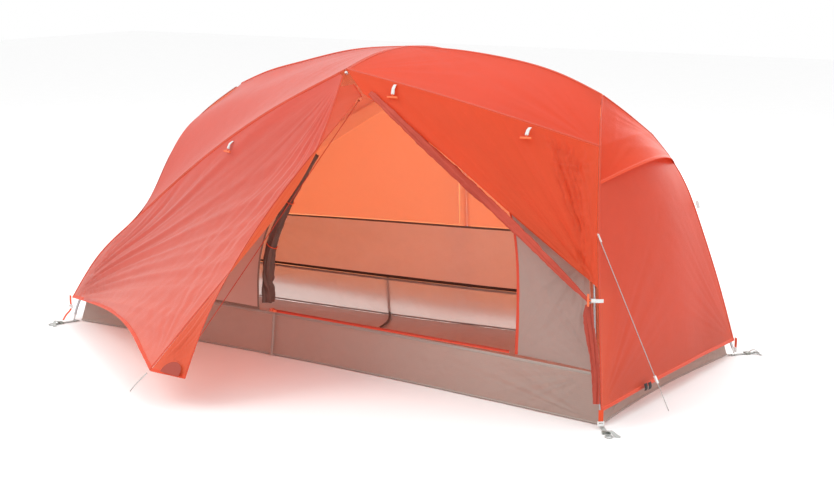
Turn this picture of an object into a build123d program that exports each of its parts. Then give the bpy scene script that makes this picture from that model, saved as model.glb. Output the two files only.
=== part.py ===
from build123d import *
import math
import os

os.makedirs("parts", exist_ok=True)

# ---------------------------------------------------------------- driving sizes, mm
FLOOR_LENGTH = 2240
HEAD_WIDTH = 970
FOOT_WIDTH = 690
FLOOR_SAG = 45
TUB_HEIGHT = 150
TUB_LEAN = 32
SOLID_BAND = 370

POLE_R = 4.4
POLE_BORE = 3.4
HUB_R = 7.5
SOCKET_R = 4.8
TIP_R = 3.0
SHOCK_R = 1.25

FLY_T = 1.2
INNER_T = 1.0
TUB_T = 1.2
SEAM_GAP = 2.0
POLE_DROP = 15
CANOPY_DROP = 46

WEB_W = 15
WEB_T = 1.6
CORD_R = 1.3
ZIP_W = 9
ZIP_T = 1.4

HALF = FLOOR_LENGTH / 2
BROW_X = 120

# the outside sheet follows these lines; the back is the mirror of the front
HEAD_HUB = (860, 0, 930)
FOOT_HUB = (-600, 0, 897)
BROW_TOP = (BROW_X, 0, 1054)
BROW_END = (BROW_X, -363, 1000)
HEAD_SEAM_END = (951, -192, 787)
FOOT_SEAM_END = (-905, -250, 405)
HEAD_CORNER = (1133, -514, 50)
FOOT_CORNER = (-1146, -364, 90)
STAKE_CORNER = (-166, -1020, 100)
FLAP_CORNER = (-11, -1030, 100)
ZIP_TOP = (199, -380, 922)
ZIP_LOW = (7, -976, 229)
ZIP_SIDE = (60, -123, -47)
ROLL_TOP = (215, -372, 930)
ROLL_LOW = (1050, -424, 372)

# ---------------------------------------------------------------- helpers


def vec(p):
    return Vector(*p)


def rail(*points):
    """A smooth line through the points, read by its share of length."""
    points = [tuple(p) for p in points]
    if len(points) == 2:
        edge = Line(*points)
    else:
        edge = Spline(*points)
    return lambda t: edge @ t


def joined(first, second, share):
    """Two rails end to end; share is where the first one stops."""
    return lambda t: first(t / share) if t < share else second((t - share) / (1 - share))


def part_of(line, start, end):
    return lambda t: line(start + (end - start) * t)


def mirror_rail(line):
    def flipped(t):
        p = line(t)
        return Vector(p.X, -p.Y, p.Z)

    return flipped


def shifted(line, dx=0, dy=0, dz=0):
    return lambda t: line(t) + Vector(dx, dy, dz)


def shrunk(line, drop):
    """The same line brought inside the outer sheet by about drop."""

    def inside(t):
        p = line(t)
        side = min(1, abs(p.Y) / 150) * math.copysign(1, p.Y)
        end = max(-1, min(1, (p.X - BROW_X) / 500))
        high = max(0, min(1, p.Z / 500 - 0.1))
        return Vector(p.X - end * drop * 0.8, p.Y - side * drop * 0.75, p.Z - high * drop)

    return inside


def patch(top, bottom, left, right, nu=10, nv=10, puff=(0, 0, 0), span=(0, 1), gap=SEAM_GAP):
    """Grid of points on the sheet hung between four rails, kept gap away from them."""
    wide = max((top(0.5) - top(0)).length + (top(1) - top(0.5)).length, 400)
    tall = max((left(1) - left(0)).length, 300)
    u0 = gap / wide
    v0 = gap / tall
    rows = []
    for j in range(nv + 1):
        v = span[0] + (span[1] - span[0]) * j / nv
        v = min(max(v, span[0] + v0), span[1] - v0)
        row = []
        for i in range(nu + 1):
            u = min(max(i / nu, u0), 1 - u0)
            p = top(u) * (1 - v) + bottom(u) * v + left(v) * (1 - u) + right(v) * u
            p -= top(0) * ((1 - u) * (1 - v)) + top(1) * (u * (1 - v))
            p -= bottom(0) * ((1 - u) * v) + bottom(1) * (u * v)
            p += vec(puff) * (math.sin(math.pi * u) * math.sin(math.pi * v))
            row.append(p)
        rows.append(row)
    return rows


def fan(left, right, low=None, nu=10, nv=12, start=0.03, end=1.0, puff=(0, 0, 0), gap=SEAM_GAP):
    """Grid on a sheet that comes to a point: ruled between two rails from one tip."""
    width = (right(end) - left(end)).length
    length = (left(end) - left(start)).length
    rows = []
    for j in range(nv + 1):
        share = j / nv
        v = start + (end - start) * share
        v = min(v, end - gap / length)
        here = max((right(v) - left(v)).length, 1)
        u0 = min(gap / here, 0.3)
        row = []
        for i in range(nu + 1):
            u = u0 + (1 - 2 * u0) * i / nu
            p = left(v) * (1 - u) + right(v) * u
            if low:
                sag = low(u) - (low(0) * (1 - u) + low(1) * u)
                p += sag * share**3
            p += vec(puff) * (math.sin(math.pi * u) * math.sin(math.pi * share))
            row.append(p)
        rows.append(row)
    return rows


def cloth(rows, thick, out):
    """One closed thin solid behind a grid of points, on the far side from out."""
    face = Face.make_surface_from_array_of_points(rows, tol=0.05, min_deg=3, max_deg=5)
    return Solid.thicken(face, -thick, normal_override=vec(out))


def tube(line, radius, start=0, end=1, bore=0):
    """A round rod or pipe along an edge."""
    path = line if (start, end) == (0, 1) else line.trim(start, end)
    plane = Plane(origin=path @ 0, z_dir=path % 0)
    ring = Circle(radius) - Circle(bore) if bore else Circle(radius)
    return sweep(plane * ring, path=path)


def strap(points, width, thick, across):
    """Flat webbing through the points, its width lying along across."""
    path = Polyline(*points)
    side = vec(across).normalized()
    along = path % 0
    plane = Plane(origin=path @ 0, x_dir=side, z_dir=along)
    return sweep(plane * Rectangle(width, thick), path=path, transition=Transition.RIGHT)


def block(center, size, x_dir=(1, 0, 0), z_dir=(0, 0, 1), r=0):
    """A box on its own axes, its long edges rounded by r."""
    shape = Box(*size)
    if r:
        shape = fillet(shape.edges().filter_by(Axis.Z), r)
    return Plane(origin=center, x_dir=x_dir, z_dir=z_dir) * shape


def cord(points, radius):
    """Straight runs joined by tangent arcs as wide as the runs allow."""
    pts = [vec(p) for p in points]
    radii = []
    for a, b, c in zip(pts, pts[1:], pts[2:]):
        turn = (b - a).get_angle(c - b)
        shorter = min((b - a).length, (c - b).length)
        radii.append(0.45 * shorter / math.tan(math.radians(turn) / 2))
    print("cord radii", [round(r, 1) for r in radii])
    path = FilletPolyline(*points, radius=radii) if radii else Line(*points)
    return sweep(Plane(origin=path @ 0, z_dir=path % 0) * Circle(radius), path=path)


def mirrored(shape):
    return mirror(shape, about=Plane.XZ)


def save(name, *shapes):
    found = [s for shape in shapes for s in shape.solids()]
    export_step(found[0] if len(found) == 1 else Compound(children=found), f"parts/{name}.step")


# ---------------------------------------------------------------- lines of the outer sheet
ridge_head = rail(BROW_TOP, (300, 0, 1051), (485, 0, 1034), (709, 0, 989), HEAD_HUB)
ridge_foot = rail(BROW_TOP, (-100, 0, 1036), (-337, 0, 983), (-473, 0, 947), FOOT_HUB)
brow_front = rail(BROW_TOP, (BROW_X, -190, 1040), BROW_END)
head_top = rail(HEAD_HUB, (905, -98, 862), HEAD_SEAM_END)
head_low = rail(HEAD_SEAM_END, (1010, -312, 635), (1050, -384, 470), (1096, -458, 250), HEAD_CORNER)
foot_top = rail(FOOT_HUB, (-634, -50, 850), (-742, -135, 748), (-846, -226, 505), FOOT_SEAM_END)
foot_low = rail(FOOT_SEAM_END, (-1000, -283, 320), (-1080, -305, 232), FOOT_CORNER)
seam_head = rail(BROW_END, (400, -350, 946), (700, -285, 868), HEAD_SEAM_END)
seam_foot = rail(BROW_END, (-200, -345, 850), (-560, -308, 640), FOOT_SEAM_END)
vest_ridge = rail(BROW_END, (62, -496, 686), (-18, -680, 461), (-132, -943, 184), STAKE_CORNER)
zip_line = rail(ZIP_TOP, ZIP_LOW, FLAP_CORNER)
head_hem = rail(HEAD_CORNER, (1142, 0, 62), (1133, 514, 50))

hem_vest = rail(FOOT_CORNER, (-811, -563, 134), (-421, -832, 152), STAKE_CORNER)
hem_back_foot = rail((-1146, 364, 90), (-560, 378, 82), (BROW_X, 428, 64))
hem_back_head = rail((BROW_X, 428, 64), (640, 462, 58), (1133, 514, 50))
drop_back = rail((BROW_X, 363, 1000), (BROW_X, 392, 540), (BROW_X, 428, 64))

# ---------------------------------------------------------------- outer sheet panels
UP = (0, 0, 1)
FRONT = (0, -1, 0.5)
BACK = (0, 1, 0.2)

roof_head = patch(ridge_head, seam_head, brow_front, head_top)
roof_foot = patch(ridge_foot, seam_foot, brow_front, foot_top)
roof_front_head = cloth(roof_head, FLY_T, UP)
roof_front_foot = cloth(roof_foot, FLY_T, UP)
save("fly_roof_head", roof_front_head, mirrored(roof_front_head))
save("fly_roof_foot", roof_front_foot, mirrored(roof_front_foot))

back_head = patch(mirror_rail(seam_head), hem_back_head, drop_back, mirror_rail(head_low))
back_foot = patch(mirror_rail(seam_foot), hem_back_foot, drop_back, mirror_rail(foot_low))
save("fly_back", cloth(back_head, FLY_T, BACK), cloth(back_foot, FLY_T, BACK))

# the head end: a flared hood over the vent, the long panel below it
lip_side = head_low(0.17)
hood_low = rail(lip_side, (1062, 0, 738), (lip_side.X, -lip_side.Y, lip_side.Z))
head_leg = joined(head_top, head_low, 0.3)
hood_end = 0.3 + 0.7 * 0.17
hood = fan(head_leg, mirror_rail(head_leg), hood_low, end=hood_end, start=0.04)
save("fly_vent_hood", cloth(hood, FLY_T, (1, 0, 1)))
vent_side = head_low(0.19)
vent_top = rail(
    vent_side,
    (vent_side.X + 4, 0, vent_side.Z + 24),
    (vent_side.X, -vent_side.Y, vent_side.Z),
)
head_side = part_of(head_low, 0.19, 1)
head_panel = patch(vent_top, head_hem, head_side, mirror_rail(head_side))
save("fly_head_end", cloth(head_panel, FLY_T, (1, 0, 0.2)))

foot_leg = rail(FOOT_HUB, *[foot_top(t) for t in (0.3, 0.6, 0.9)], foot_low(0.12), foot_low(0.5), FOOT_CORNER)
foot_hem = rail(FOOT_CORNER, (-1150, 0, 96), (FOOT_CORNER[0], -FOOT_CORNER[1], FOOT_CORNER[2]))
foot_panel = fan(foot_leg, mirror_rail(foot_leg), foot_hem, start=0.05, gap=10)
save("fly_foot_end", cloth(foot_panel, FLY_T, (-1, 0, 0.4)))

vest_top = rail(BROW_END, *[seam_foot(t) for t in (0.3, 0.6, 0.9)], foot_low(0.14), foot_low(0.5), FOOT_CORNER)
vest_hem = rail(*[hem_vest(t) for t in (1, 0.75, 0.5, 0.25, 0)])
vest_panel = fan(vest_ridge, vest_top, vest_hem, start=0.03, gap=8)
save("fly_vestibule", cloth(vest_panel, FLY_T, (-0.6, -0.7, 0.4)))

strip_low = rail(STAKE_CORNER, FLAP_CORNER)
inner_edge = joined(rail(BROW_END, ZIP_TOP), shifted(zip_line, -9, 7, -3), 0.09)
strip_panel = fan(vest_ridge, inner_edge, strip_low, start=0.14)
save("fly_zip_strip", cloth(strip_panel, FLY_T, (0.8, -0.5, 0.3)))

door_side = part_of(head_low, 0, 0.56)
door_low = rail(ROLL_TOP, (500, -392, 740), (800, -400, 530), ROLL_LOW)
door_top = part_of(seam_head, 0.12, 1)
door_left = rail(seam_head(0.12), (219, -372, 948))
door_panel = patch(door_top, shifted(door_low, 4, 0, 18), door_left, door_side, gap=4)
save("fly_door_panel", cloth(door_panel, FLY_T, FRONT))

# ---------------------------------------------------------------- groundsheet and tub
HEAD_Y = HEAD_WIDTH / 2
FOOT_Y = FOOT_WIDTH / 2
MID_Y = (HEAD_Y + FOOT_Y) / 2 - FLOOR_SAG
FLOOR_LIFT = 3


def tub_ring(z, lean):
    """The four edges of the tub at one height: front, back, head and foot."""
    x = HALF - lean
    a = (x, -HEAD_Y + lean * 0.9, z)
    b = (x, HEAD_Y - lean * 0.9, z)
    c = (-x, -FOOT_Y + lean * 0.8, z)
    d = (-x, FOOT_Y - lean * 0.8, z)
    mid = MID_Y - lean * 0.5
    front = rail(c, (0, -mid, z), a)
    back = rail(d, (0, mid, z), b)
    head = rail(a, (x - 22, 0, z), b)
    foot = rail(c, (22 - x, 0, z), d)
    return front, back, head, foot


low_ring = tub_ring(FLOOR_LIFT, 0)
top_ring = tub_ring(TUB_HEIGHT, TUB_LEAN)
band_ring = tub_ring(TUB_HEIGHT + 4, TUB_LEAN + 1)

floor_ring = tub_ring(0, 6)
outline = [Spline(*[line(i / 8) for i in range(9)]) for line in floor_ring]
save("tub_floor", extrude(make_face(outline), amount=1.6))

outward = [(0, -1, 0), (0, 1, 0), (1, 0, 0), (-1, 0, 0)]
walls = []
for low, top, out in zip(low_ring, top_ring, outward):
    left = rail(top(0), low(0))
    right = rail(top(1), low(1))
    walls.append(cloth(patch(top, low, left, right, nv=4), TUB_T, out))
save("tub_walls", *walls)

# ---------------------------------------------------------------- inner canopy
in_ridge_head = shrunk(ridge_head, CANOPY_DROP + 8)
in_ridge_foot = shrunk(ridge_foot, CANOPY_DROP + 8)
in_brow = shrunk(brow_front, CANOPY_DROP + 8)
in_seam_head = shrunk(seam_head, CANOPY_DROP + 8)
in_seam_foot = shrunk(seam_foot, CANOPY_DROP + 8)
head_a = band_ring[0](1)
foot_c = band_ring[0](0)
head_shoulder = in_seam_head(1)
foot_shoulder = in_seam_foot(1)
in_head_low = rail(head_shoulder, (975, -322, 540), (1040, -398, 330), head_a)
in_foot_low = rail(foot_shoulder, (-956, -268, 276), foot_c)

in_head_top = rail(in_ridge_head(1), (866, -88, 808), head_shoulder)
in_foot_top = rail(in_ridge_foot(1), (-704, -104, 668), foot_shoulder)

in_roof_head = patch(in_ridge_head, in_seam_head, in_brow, in_head_top)
in_roof_foot = patch(in_ridge_foot, in_seam_foot, in_brow, in_foot_top)
canopy_roof = [cloth(rows, INNER_T, UP) for rows in (in_roof_head, in_roof_foot)]
save("canopy_roof", *canopy_roof, *[mirrored(shape) for shape in canopy_roof])

# the door hole: a tall rounded triangle in the front wall
door_foot_low = (-258, -356, TUB_HEIGHT + 4)
door_head_low = (785, -411, TUB_HEIGHT + 4)
door_head_edge = rail(in_seam_head(0.12), (430, -316, 838), (632, -318, 715), (730, -346, 560), (772, -382, 390), door_head_low)
door_foot_edge = rail(in_seam_foot(0), (-30, -334, 740), (-165, -342, 545), (-252, -348, 345), door_foot_low)
band_front_head = rail(door_head_low, (940, -431, TUB_HEIGHT + 4), head_a)
band_front_foot = rail(foot_c, (-640, -334, TUB_HEIGHT + 4), door_foot_low)
seam_to_shoulder = part_of(in_seam_head, 0.12, 1)
seam_from_shoulder = part_of(in_seam_foot, 1, 0)
front_head = [seam_to_shoulder, band_front_head, door_head_edge, in_head_low]
save("canopy_front_head_mesh", cloth(patch(*front_head, span=(0, 0.52)), INNER_T, FRONT))
save("canopy_front_head_low", cloth(patch(*front_head, span=(0.525, 1)), INNER_T, FRONT))
front_foot = patch(seam_from_shoulder, band_front_foot, in_foot_low, door_foot_edge)
save("canopy_front_foot", cloth(front_foot, INNER_T, FRONT))

# the back wall: a plain band above the tub, mesh from there to the roof
band_mid = (BROW_X, 350, SOLID_BAND + 12)
band_end = (1031, 398, SOLID_BAND + 32)
band_back = rail((-865, 212, SOLID_BAND), (-420, 318, SOLID_BAND), band_mid)
band_back_head = rail(band_mid, (620, 372, SOLID_BAND + 25), band_end)
whole_band = joined(band_back, band_back_head, 0.52)
back_low_head = rail(band_end, (1060, 428, 260), (head_a.X, -head_a.Y, head_a.Z))
back_low = patch(whole_band, band_ring[1], mirror_rail(in_foot_low), back_low_head)
save("canopy_back_low", cloth(back_low, INNER_T, BACK))
back_mid = rail(mirror_rail(in_seam_foot)(0), (BROW_X, 346, 640), band_mid)
back_high_head = part_of(mirror_rail(in_head_low), 0, 0.6)
mesh_head = patch(mirror_rail(in_seam_head), shifted(band_back_head, dz=4), back_mid, back_high_head, gap=3)
seam_back = part_of(mirror_rail(in_seam_foot), 1, 0)
mesh_foot = fan(seam_back, shifted(band_back, dz=4), start=0.06, end=0.995, gap=3)
save("canopy_back_mesh", cloth(mesh_head, INNER_T, BACK), cloth(mesh_foot, INNER_T, BACK))

in_head_side = rail(*[in_head_top(t) for t in (0.3, 0.7)], *[in_head_low(t) for t in (0.05, 0.35, 0.7, 1)])
in_foot_side = rail(*[in_foot_top(t) for t in (0.16, 0.45, 0.75)], *[in_foot_low(t) for t in (0.08, 0.5, 1)])
head_end = fan(in_head_side, mirror_rail(in_head_side), band_ring[2], start=0, gap=9)
foot_end = fan(in_foot_side, mirror_rail(in_foot_side), band_ring[3], start=0, gap=4)
save("canopy_head_end", cloth(head_end, INNER_T, (1, 0, 0.3)))
save("canopy_foot_end", cloth(foot_end, INNER_T, (-1, 0, 0.5)))

# ---------------------------------------------------------------- poles
HEAD_HUB_AT = (848, 0, 910)
FOOT_HUB_AT = (-586, 0, 876)
ridge_line = Spline(
    FOOT_HUB_AT,
    (-470, 0, 932),
    (-337, 0, 968),
    (-100, 0, 1019),
    (BROW_X, 0, 1034),
    (300, 0, 1032),
    (485, 0, 1016),
    (709, 0, 968),
    HEAD_HUB_AT,
)
brow_line = Spline((BROW_X, -352, 990), (BROW_X, -190, 1026), (BROW_X, 0, 1043.5), (BROW_X, 190, 1026), (BROW_X, 352, 990))
head_tip = (1131, -502, 30)
foot_tip = (-1134, -362, 30)
head_points = [
    HEAD_HUB_AT,
    (890, -92, 842),
    (930, -180, 768),
    (990, -300, 622),
    (1031, -370, 458),
    (1078, -444, 240),
    (1112, -484, 100),
    head_tip,
]
foot_points = [
    FOOT_HUB_AT,
    (-636, -46, 822),
    (-730, -122, 722),
    (-788, -176, 612),
    (-836, -211, 482),
    (-918, -250, 362),
    (-1018, -294, 232),
    (-1084, -330, 148),
    foot_tip,
]
head_line = Spline(*head_points)
foot_line = Spline(*foot_points)
head_line_back = Spline(*[(x, -y, z) for x, y, z in head_points])
foot_line_back = Spline(*[(x, -y, z) for x, y, z in foot_points])
IN_RIDGE = 14 / ridge_line.length
IN_HEAD = 14 / head_line.length
IN_FOOT = 14 / foot_line.length
save("pole_ridge", tube(ridge_line, POLE_R, IN_RIDGE, 1 - IN_RIDGE, POLE_BORE))
save("pole_brow", tube(brow_line, POLE_R, bore=POLE_BORE))
head_pole = tube(head_line, POLE_R, IN_HEAD, 1, POLE_BORE)
foot_pole = tube(foot_line, POLE_R, IN_FOOT, 1, POLE_BORE)
save("pole_leg_head_front", head_pole)
save("pole_leg_head_back", mirrored(head_pole))
save("pole_leg_foot_front", foot_pole)
save("pole_leg_foot_back", mirrored(foot_pole))


def hub(centre, start, legs):
    """A Y of three sockets about a ball, each bored for the pole that enters it."""
    lines = [(ridge_line, start), (legs[0], 0), (legs[1], 0)]
    ball = Pos(*centre) * Sphere(10)
    bores = []
    for line, at in lines:
        reach = 42 / line.length
        step = 13 / line.length
        outer = (1 - reach, 1 - step / 3) if at else (step / 3, reach)
        inner = (1 - reach, 1 - step) if at else (step, reach)
        ball = ball + tube(line, HUB_R, *outer)
        bores.append(tube(line, SOCKET_R, *inner))
    for bore in bores:
        ball = ball - bore
    return max(ball.solids(), key=lambda piece: piece.volume)


save("hub_head", hub(HEAD_HUB_AT, 1, (head_line, head_line_back)))
save("hub_foot", hub(FOOT_HUB_AT, 0, (foot_line, foot_line_back)))

core_lines = [ridge_line.trim(0.03, 0.97), brow_line.trim(0.02, 0.98)]
core_lines += [leg.trim(0.04, 0.99) for leg in (head_line, foot_line)]
cores = [tube(line, SHOCK_R) for line in core_lines]
save("shock_cord", *cores, mirrored(cores[2]), mirrored(cores[3]))

ferrules = [tube(ridge_line, 5.3, at, at + 0.035, POLE_R + 0.2) for at in (0.2, 0.36, 0.62, 0.8)]
legs = [tube(head_line, 5.3, 0.46, 0.51, POLE_R + 0.2), tube(foot_line, 5.3, 0.44, 0.49, POLE_R + 0.2)]
save("pole_ferrules", *ferrules, *legs, *[mirrored(leg) for leg in legs])

hub_block = Box(34, 26, 22) - Pos(0, 0, -5.1) * Rot(Y=90) * Cylinder(SOCKET_R, 60)
hub_block = hub_block - Pos(0, 0, 4.6) * Rot(X=90) * Cylinder(SOCKET_R, 60)
save("hub_brow", Pos(BROW_X, 0, 1038.9) * hub_block)

cap = Cylinder(6.4, 16) - Pos(0, 0, -3) * Cylinder(4.7, 16)
brow_cap = Plane(origin=brow_line @ 0, z_dir=(brow_line % 0) * -1) * cap
brow_caps = [brow_cap, mirrored(brow_cap)]


def tip(line):
    """The metal plug at the foot of a leg, with its collar."""
    end = line @ 1
    along = (line % 1).normalized()
    plane = Plane(origin=end, z_dir=along)
    pin = plane * Pos(0, 0, 12) * Cylinder(TIP_R, 20)
    collar = plane * Pos(0, 0, 2.3) * Cylinder(4.9, 3.8)
    return pin + collar


head_plug = tip(head_line)
foot_plug = tip(foot_line)
save("pole_tips", *brow_caps, head_plug, foot_plug, mirrored(head_plug), mirrored(foot_plug))


def clip(line, at, neck=20):
    """A hook snapped under a pole, with a short neck down to the canopy."""
    here = line @ at
    along = (line % at).normalized()
    out = Vector(0, 0, 1) if abs(here.Y) < 20 else Vector(here.X * 0.35, here.Y, 120).normalized()
    out = (out - along * out.dot(along)).normalized()
    plane = Plane(origin=here, x_dir=along.cross(out), z_dir=along)
    ring = Cylinder(6.3, 9) - Cylinder(4.7, 12)
    stem = Pos(0, 5.9 + (neck - 5.9) / 2, 0) * Box(5, neck - 5.9, 8)
    mouth = Pos(7, -3, 0) * Box(7, 4.4, 12)
    return plane * (ring + stem - mouth)


ridge_clips = [clip(ridge_line, at, 30) for at in (0.14, 0.28, 0.42, 0.57, 0.71, 0.88)]
leg_clips = [clip(head_line, 0.3), clip(head_line, 0.62), clip(foot_line, 0.28), clip(foot_line, 0.6)]
save("canopy_clips", *ridge_clips, *leg_clips, *[mirrored(c) for c in leg_clips])

# ---------------------------------------------------------------- inner door and its zip
bundle_line = Spline((-50, -294, 700), (-175, -299, 520), (-252, -303, 330), (-258, -307, 178))
bundle_ring = bundle_line @ 0
save("inner_door_bundle", sweep(Plane(origin=bundle_ring, z_dir=bundle_line % 0) * Ellipse(17, 11), path=bundle_line))

inner_zip_from = Vector(-205, -368, TUB_HEIGHT + 13)
inner_zip_to = Vector(770, -420, TUB_HEIGHT + 13)
inner_run = (inner_zip_to - inner_zip_from).normalized()
inner_side = inner_run.cross(Vector(0, 0, 1))
inner_zip = block(inner_zip_from + (inner_zip_to - inner_zip_from) * 0.5, ((inner_zip_to - inner_zip_from).length, ZIP_T, ZIP_W), inner_run)
save("inner_zip_tape", inner_zip)


def frame(at, run, out):
    """Axes for a fitting: x along run, y along out."""
    run = vec(run).normalized()
    out = vec(out)
    out = (out - run * out.dot(run)).normalized()
    return Plane(origin=at, x_dir=run, z_dir=run.cross(out))


def slider(plane):
    """A zip slider: two cheeks either side of the tape, joined past its edge, and a lug."""
    cheeks = [Pos(0, y, -0.5) * Box(14, 1.8, 10) for y in (-2.6, 2.6)]
    bridge = Pos(0, 0, 4.8) * Box(9, 7, 2.4)
    lug = Pos(0, -5, -1) * (Box(6, 3.4, 3.6) - Pos(0, -0.3, 0) * Cylinder(1.1, 6))
    return plane * (cheeks[0] + cheeks[1] + bridge + lug)


def pull(plane, length):
    """A pin through the slider's lug, its yoke and the tab that lies along the tape."""
    hinge = Pos(0, -5.3, -1)
    arms = [Pos(3, 0, z) * Box(8, 2, 1.6) for z in (-3.2, 3.2)]
    tab = Pos(6.5 + length / 2, 0, 0) * Box(length, 1.6, 8)
    return plane * hinge * (Cylinder(0.8, 8.4) + arms[0] + arms[1] + tab)


inner_top_edge = Vector(0, 0, ZIP_W / 2 - 3)
inner_frame = frame(inner_zip_from + inner_run * 14 + inner_top_edge, inner_run, (0, -1, 0))
flip = Rot(X=180)
save("inner_zip_slider", slider(inner_frame * flip))
save("inner_zip_pull", pull(inner_frame * flip, 16))

# ---------------------------------------------------------------- outer door zip, roll and toggles
zip_run = (vec(ZIP_LOW) - vec(ZIP_TOP)).normalized()
zip_len = (vec(ZIP_LOW) - vec(ZIP_TOP)).length
zip_wide = vec(ZIP_SIDE)
zip_wide = (zip_wide - zip_run * zip_wide.dot(zip_run)).normalized()
zip_out = zip_run.cross(zip_wide)
zip_out = zip_out if zip_out.Y < 0 else zip_out * -1
tape_mid = vec(ZIP_TOP) + zip_run * (zip_len / 2 + 4) - zip_wide * (ZIP_W / 2)
tape_plane = frame(tape_mid, zip_run, zip_out)
save("fly_zip_tape", tape_plane * Box(zip_len, ZIP_T, ZIP_W))
lift = 1 if tape_plane.z_dir.dot(zip_wide) > 0 else -1
edge_at = vec(ZIP_TOP) + zip_run * 16 - zip_wide * 3
fly_frame = frame(edge_at, zip_run, zip_out * lift)
save("fly_zip_slider", slider(fly_frame))
save("fly_zip_pull", pull(fly_frame, 14))

roll_points = [(262, -382, 898), (450, -392, 770), (642, -398, 632), (850, -412, 488), (1030, -432, 366)]
save("fly_door_roll", cord(roll_points, 9))
tail_line = Spline((1062, -464, 330), (1088, -487, 242), (1114, -512, 160), (1128, -534, 86))
save("fly_door_tail", tube(tail_line, 10))

toggle_spots = {
    "foot": ((-374, -343, 722), (-0.144, -0.373, -0.916), (-0.33, -0.856, 0.4)),
    "mid": ((312, -364, 950), (0, -0.2, -0.98), (0, -0.98, 0.2)),
    "head": ((761, -292, 836), (0.02, -0.56, -0.83), (0, -0.83, 0.56)),
    "low": ((1090, -444, 368), (-0.98, -0.2, 0), (-0.2, -0.98, 0)),
}
loops = []
for name, (at, down, out) in toggle_spots.items():
    down = vec(down).normalized()
    out = vec(out).normalized()
    side = down.cross(out).normalized()
    root = vec(at) + out * 9
    plane = Plane(origin=root, x_dir=side, z_dir=down)
    loops.append(plane * Pos(0, 0, 12) * (Box(11, 1.2, 24) - Pos(0, 0, 9) * Box(5, 4, 3)))
    ring = plane * Pos(0, 0, 24.25) * Rot(Y=90) * Torus(3.2, 0.9)
    bar = plane * Pos(0, 0, 31.4) * Rot(Y=90) * Cylinder(3.4, 38)
    stem = plane * Pos(0, 0, 28.3) * Box(2.4, 1.4, 2.6)
    save(f"toggle_{name}", bar + stem + ring)
    pivot = root + down * 23.25
    print("toggle", name, [round(c / 1000, 4) for c in pivot], [round(c, 3) for c in side])
save("toggle_loops", *loops)

# ---------------------------------------------------------------- corners
corners = {
    "head_front": ((1126, -493), (0.62, -0.78), (HEAD_CORNER[0], HEAD_CORNER[1], HEAD_CORNER[2])),
    "head_back": ((1126, 493), (0.62, 0.78), (HEAD_CORNER[0], -HEAD_CORNER[1], HEAD_CORNER[2])),
    "foot_front": ((-1130, -356), (-0.35, -0.94), FOOT_CORNER),
    "foot_back": ((-1130, 356), (-0.35, 0.94), (FOOT_CORNER[0], -FOOT_CORNER[1], FOOT_CORNER[2])),
}
grommets = []
straps = []
buckles = []
tabs = []
for name, ((x, y), (dx, dy), hem) in corners.items():
    out = Vector(dx, dy, 0).normalized()
    side = Vector(-out.Y, out.X, 0)
    near = Vector(x, y, 0)
    tip_at = head_plug.center() if "head" in name else foot_plug.center()
    seat = Vector(tip_at.X, abs(tip_at.Y) * (1 if y > 0 else -1), 5.4)
    grommets.append(Plane(origin=seat) * (Cylinder(8, 2.4) - Cylinder(3.9, 4)))
    mid = near + out * 46
    base = Plane(origin=mid + Vector(0, 0, 2.6), x_dir=out)
    straps.append(base * Box(100, WEB_W, WEB_T))
    straps.append(base * Pos(62, 0, 0) * (Cylinder(13, WEB_T) - Cylinder(7, 4)))
    lock = Box(15, 24, 7.4) - Pos(0, 0, -1.1) * Box(20, WEB_W + 1.6, WEB_T + 1.4)
    lock = lock - Pos(0, 0, 3.2) * Box(4, WEB_W + 1.6, 3)
    save(f"ladder_lock_{name}", Plane(origin=mid + out * 22 + Vector(0, 0, 3.8), x_dir=out) * lock)
    print("lock", name, [round(c, 3) for c in out])
    drop = Vector(*hem) + out * 6
    tabs.append(Plane(origin=drop + Vector(0, 0, -11), x_dir=out) * Box(WEB_T, WEB_W, 26))
    low = Plane(origin=drop + Vector(0, 0, -32), x_dir=out)
    buckles.append(low * (Box(6, 20, 14) - Pos(0, 0, 2) * Box(8, 13, 4)))
save("grommets", *grommets)
save("corner_straps", *straps)
save("fly_corner_buckles", *buckles)

# ---------------------------------------------------------------- guys, loops and small trim
GUY_TOP = (1040, -362, 540)
GUY_LOW = (1237, -260, 8)
guy_run = (vec(GUY_LOW) - vec(GUY_TOP)).normalized()
save("guyline", cord([vec(GUY_TOP) + guy_run * 14, GUY_LOW], CORD_R))
guy_tab = frame(vec(GUY_TOP) + Vector(4, -4, 0), guy_run, (0.6, 0.8, 0))
guy_tabs = [guy_tab * (Box(24, 1.6, 12) - Pos(7, 0, 0) * Box(5, 4, 6))]
guy_tabs.append(mirrored(guy_tabs[0]))
save("fly_webbing_tabs", *tabs, *guy_tabs)
tension_at = vec(GUY_TOP) + guy_run * 470
tension = frame(tension_at, guy_run, (0.6, 0.8, 0))
save("guyline_tensioner", tension * (Box(24, 6, 9) - Rot(Y=90) * Cylinder(CORD_R + 0.5, 30)))

peg_run = Vector(-0.4, -0.917, -0.75).normalized()
peg_from = vec(STAKE_CORNER) + Vector(-4, -8, -4)
peg_points = [peg_from, peg_from + peg_run * 62, peg_from + peg_run * 84 + Vector(12, 0, 4)]
save("vestibule_cord", cord(peg_points, CORD_R + 0.4))

patch_plane = Plane(origin=(-82, -1034, 112), x_dir=(1, -0.06, 0), z_dir=(0.1, -1, 0.3))
save("fly_corner_patch", patch_plane * (Cylinder(24, 1.2) - Pos(0, 30, 0) * Box(60, 60, 4)))
label_plane = Plane(origin=(1151, -238, 66), x_dir=(0, 1, 0), z_dir=(1, 0, 0.14))
save("care_label", label_plane * Box(50, 22, 1))
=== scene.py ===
import math

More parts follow.
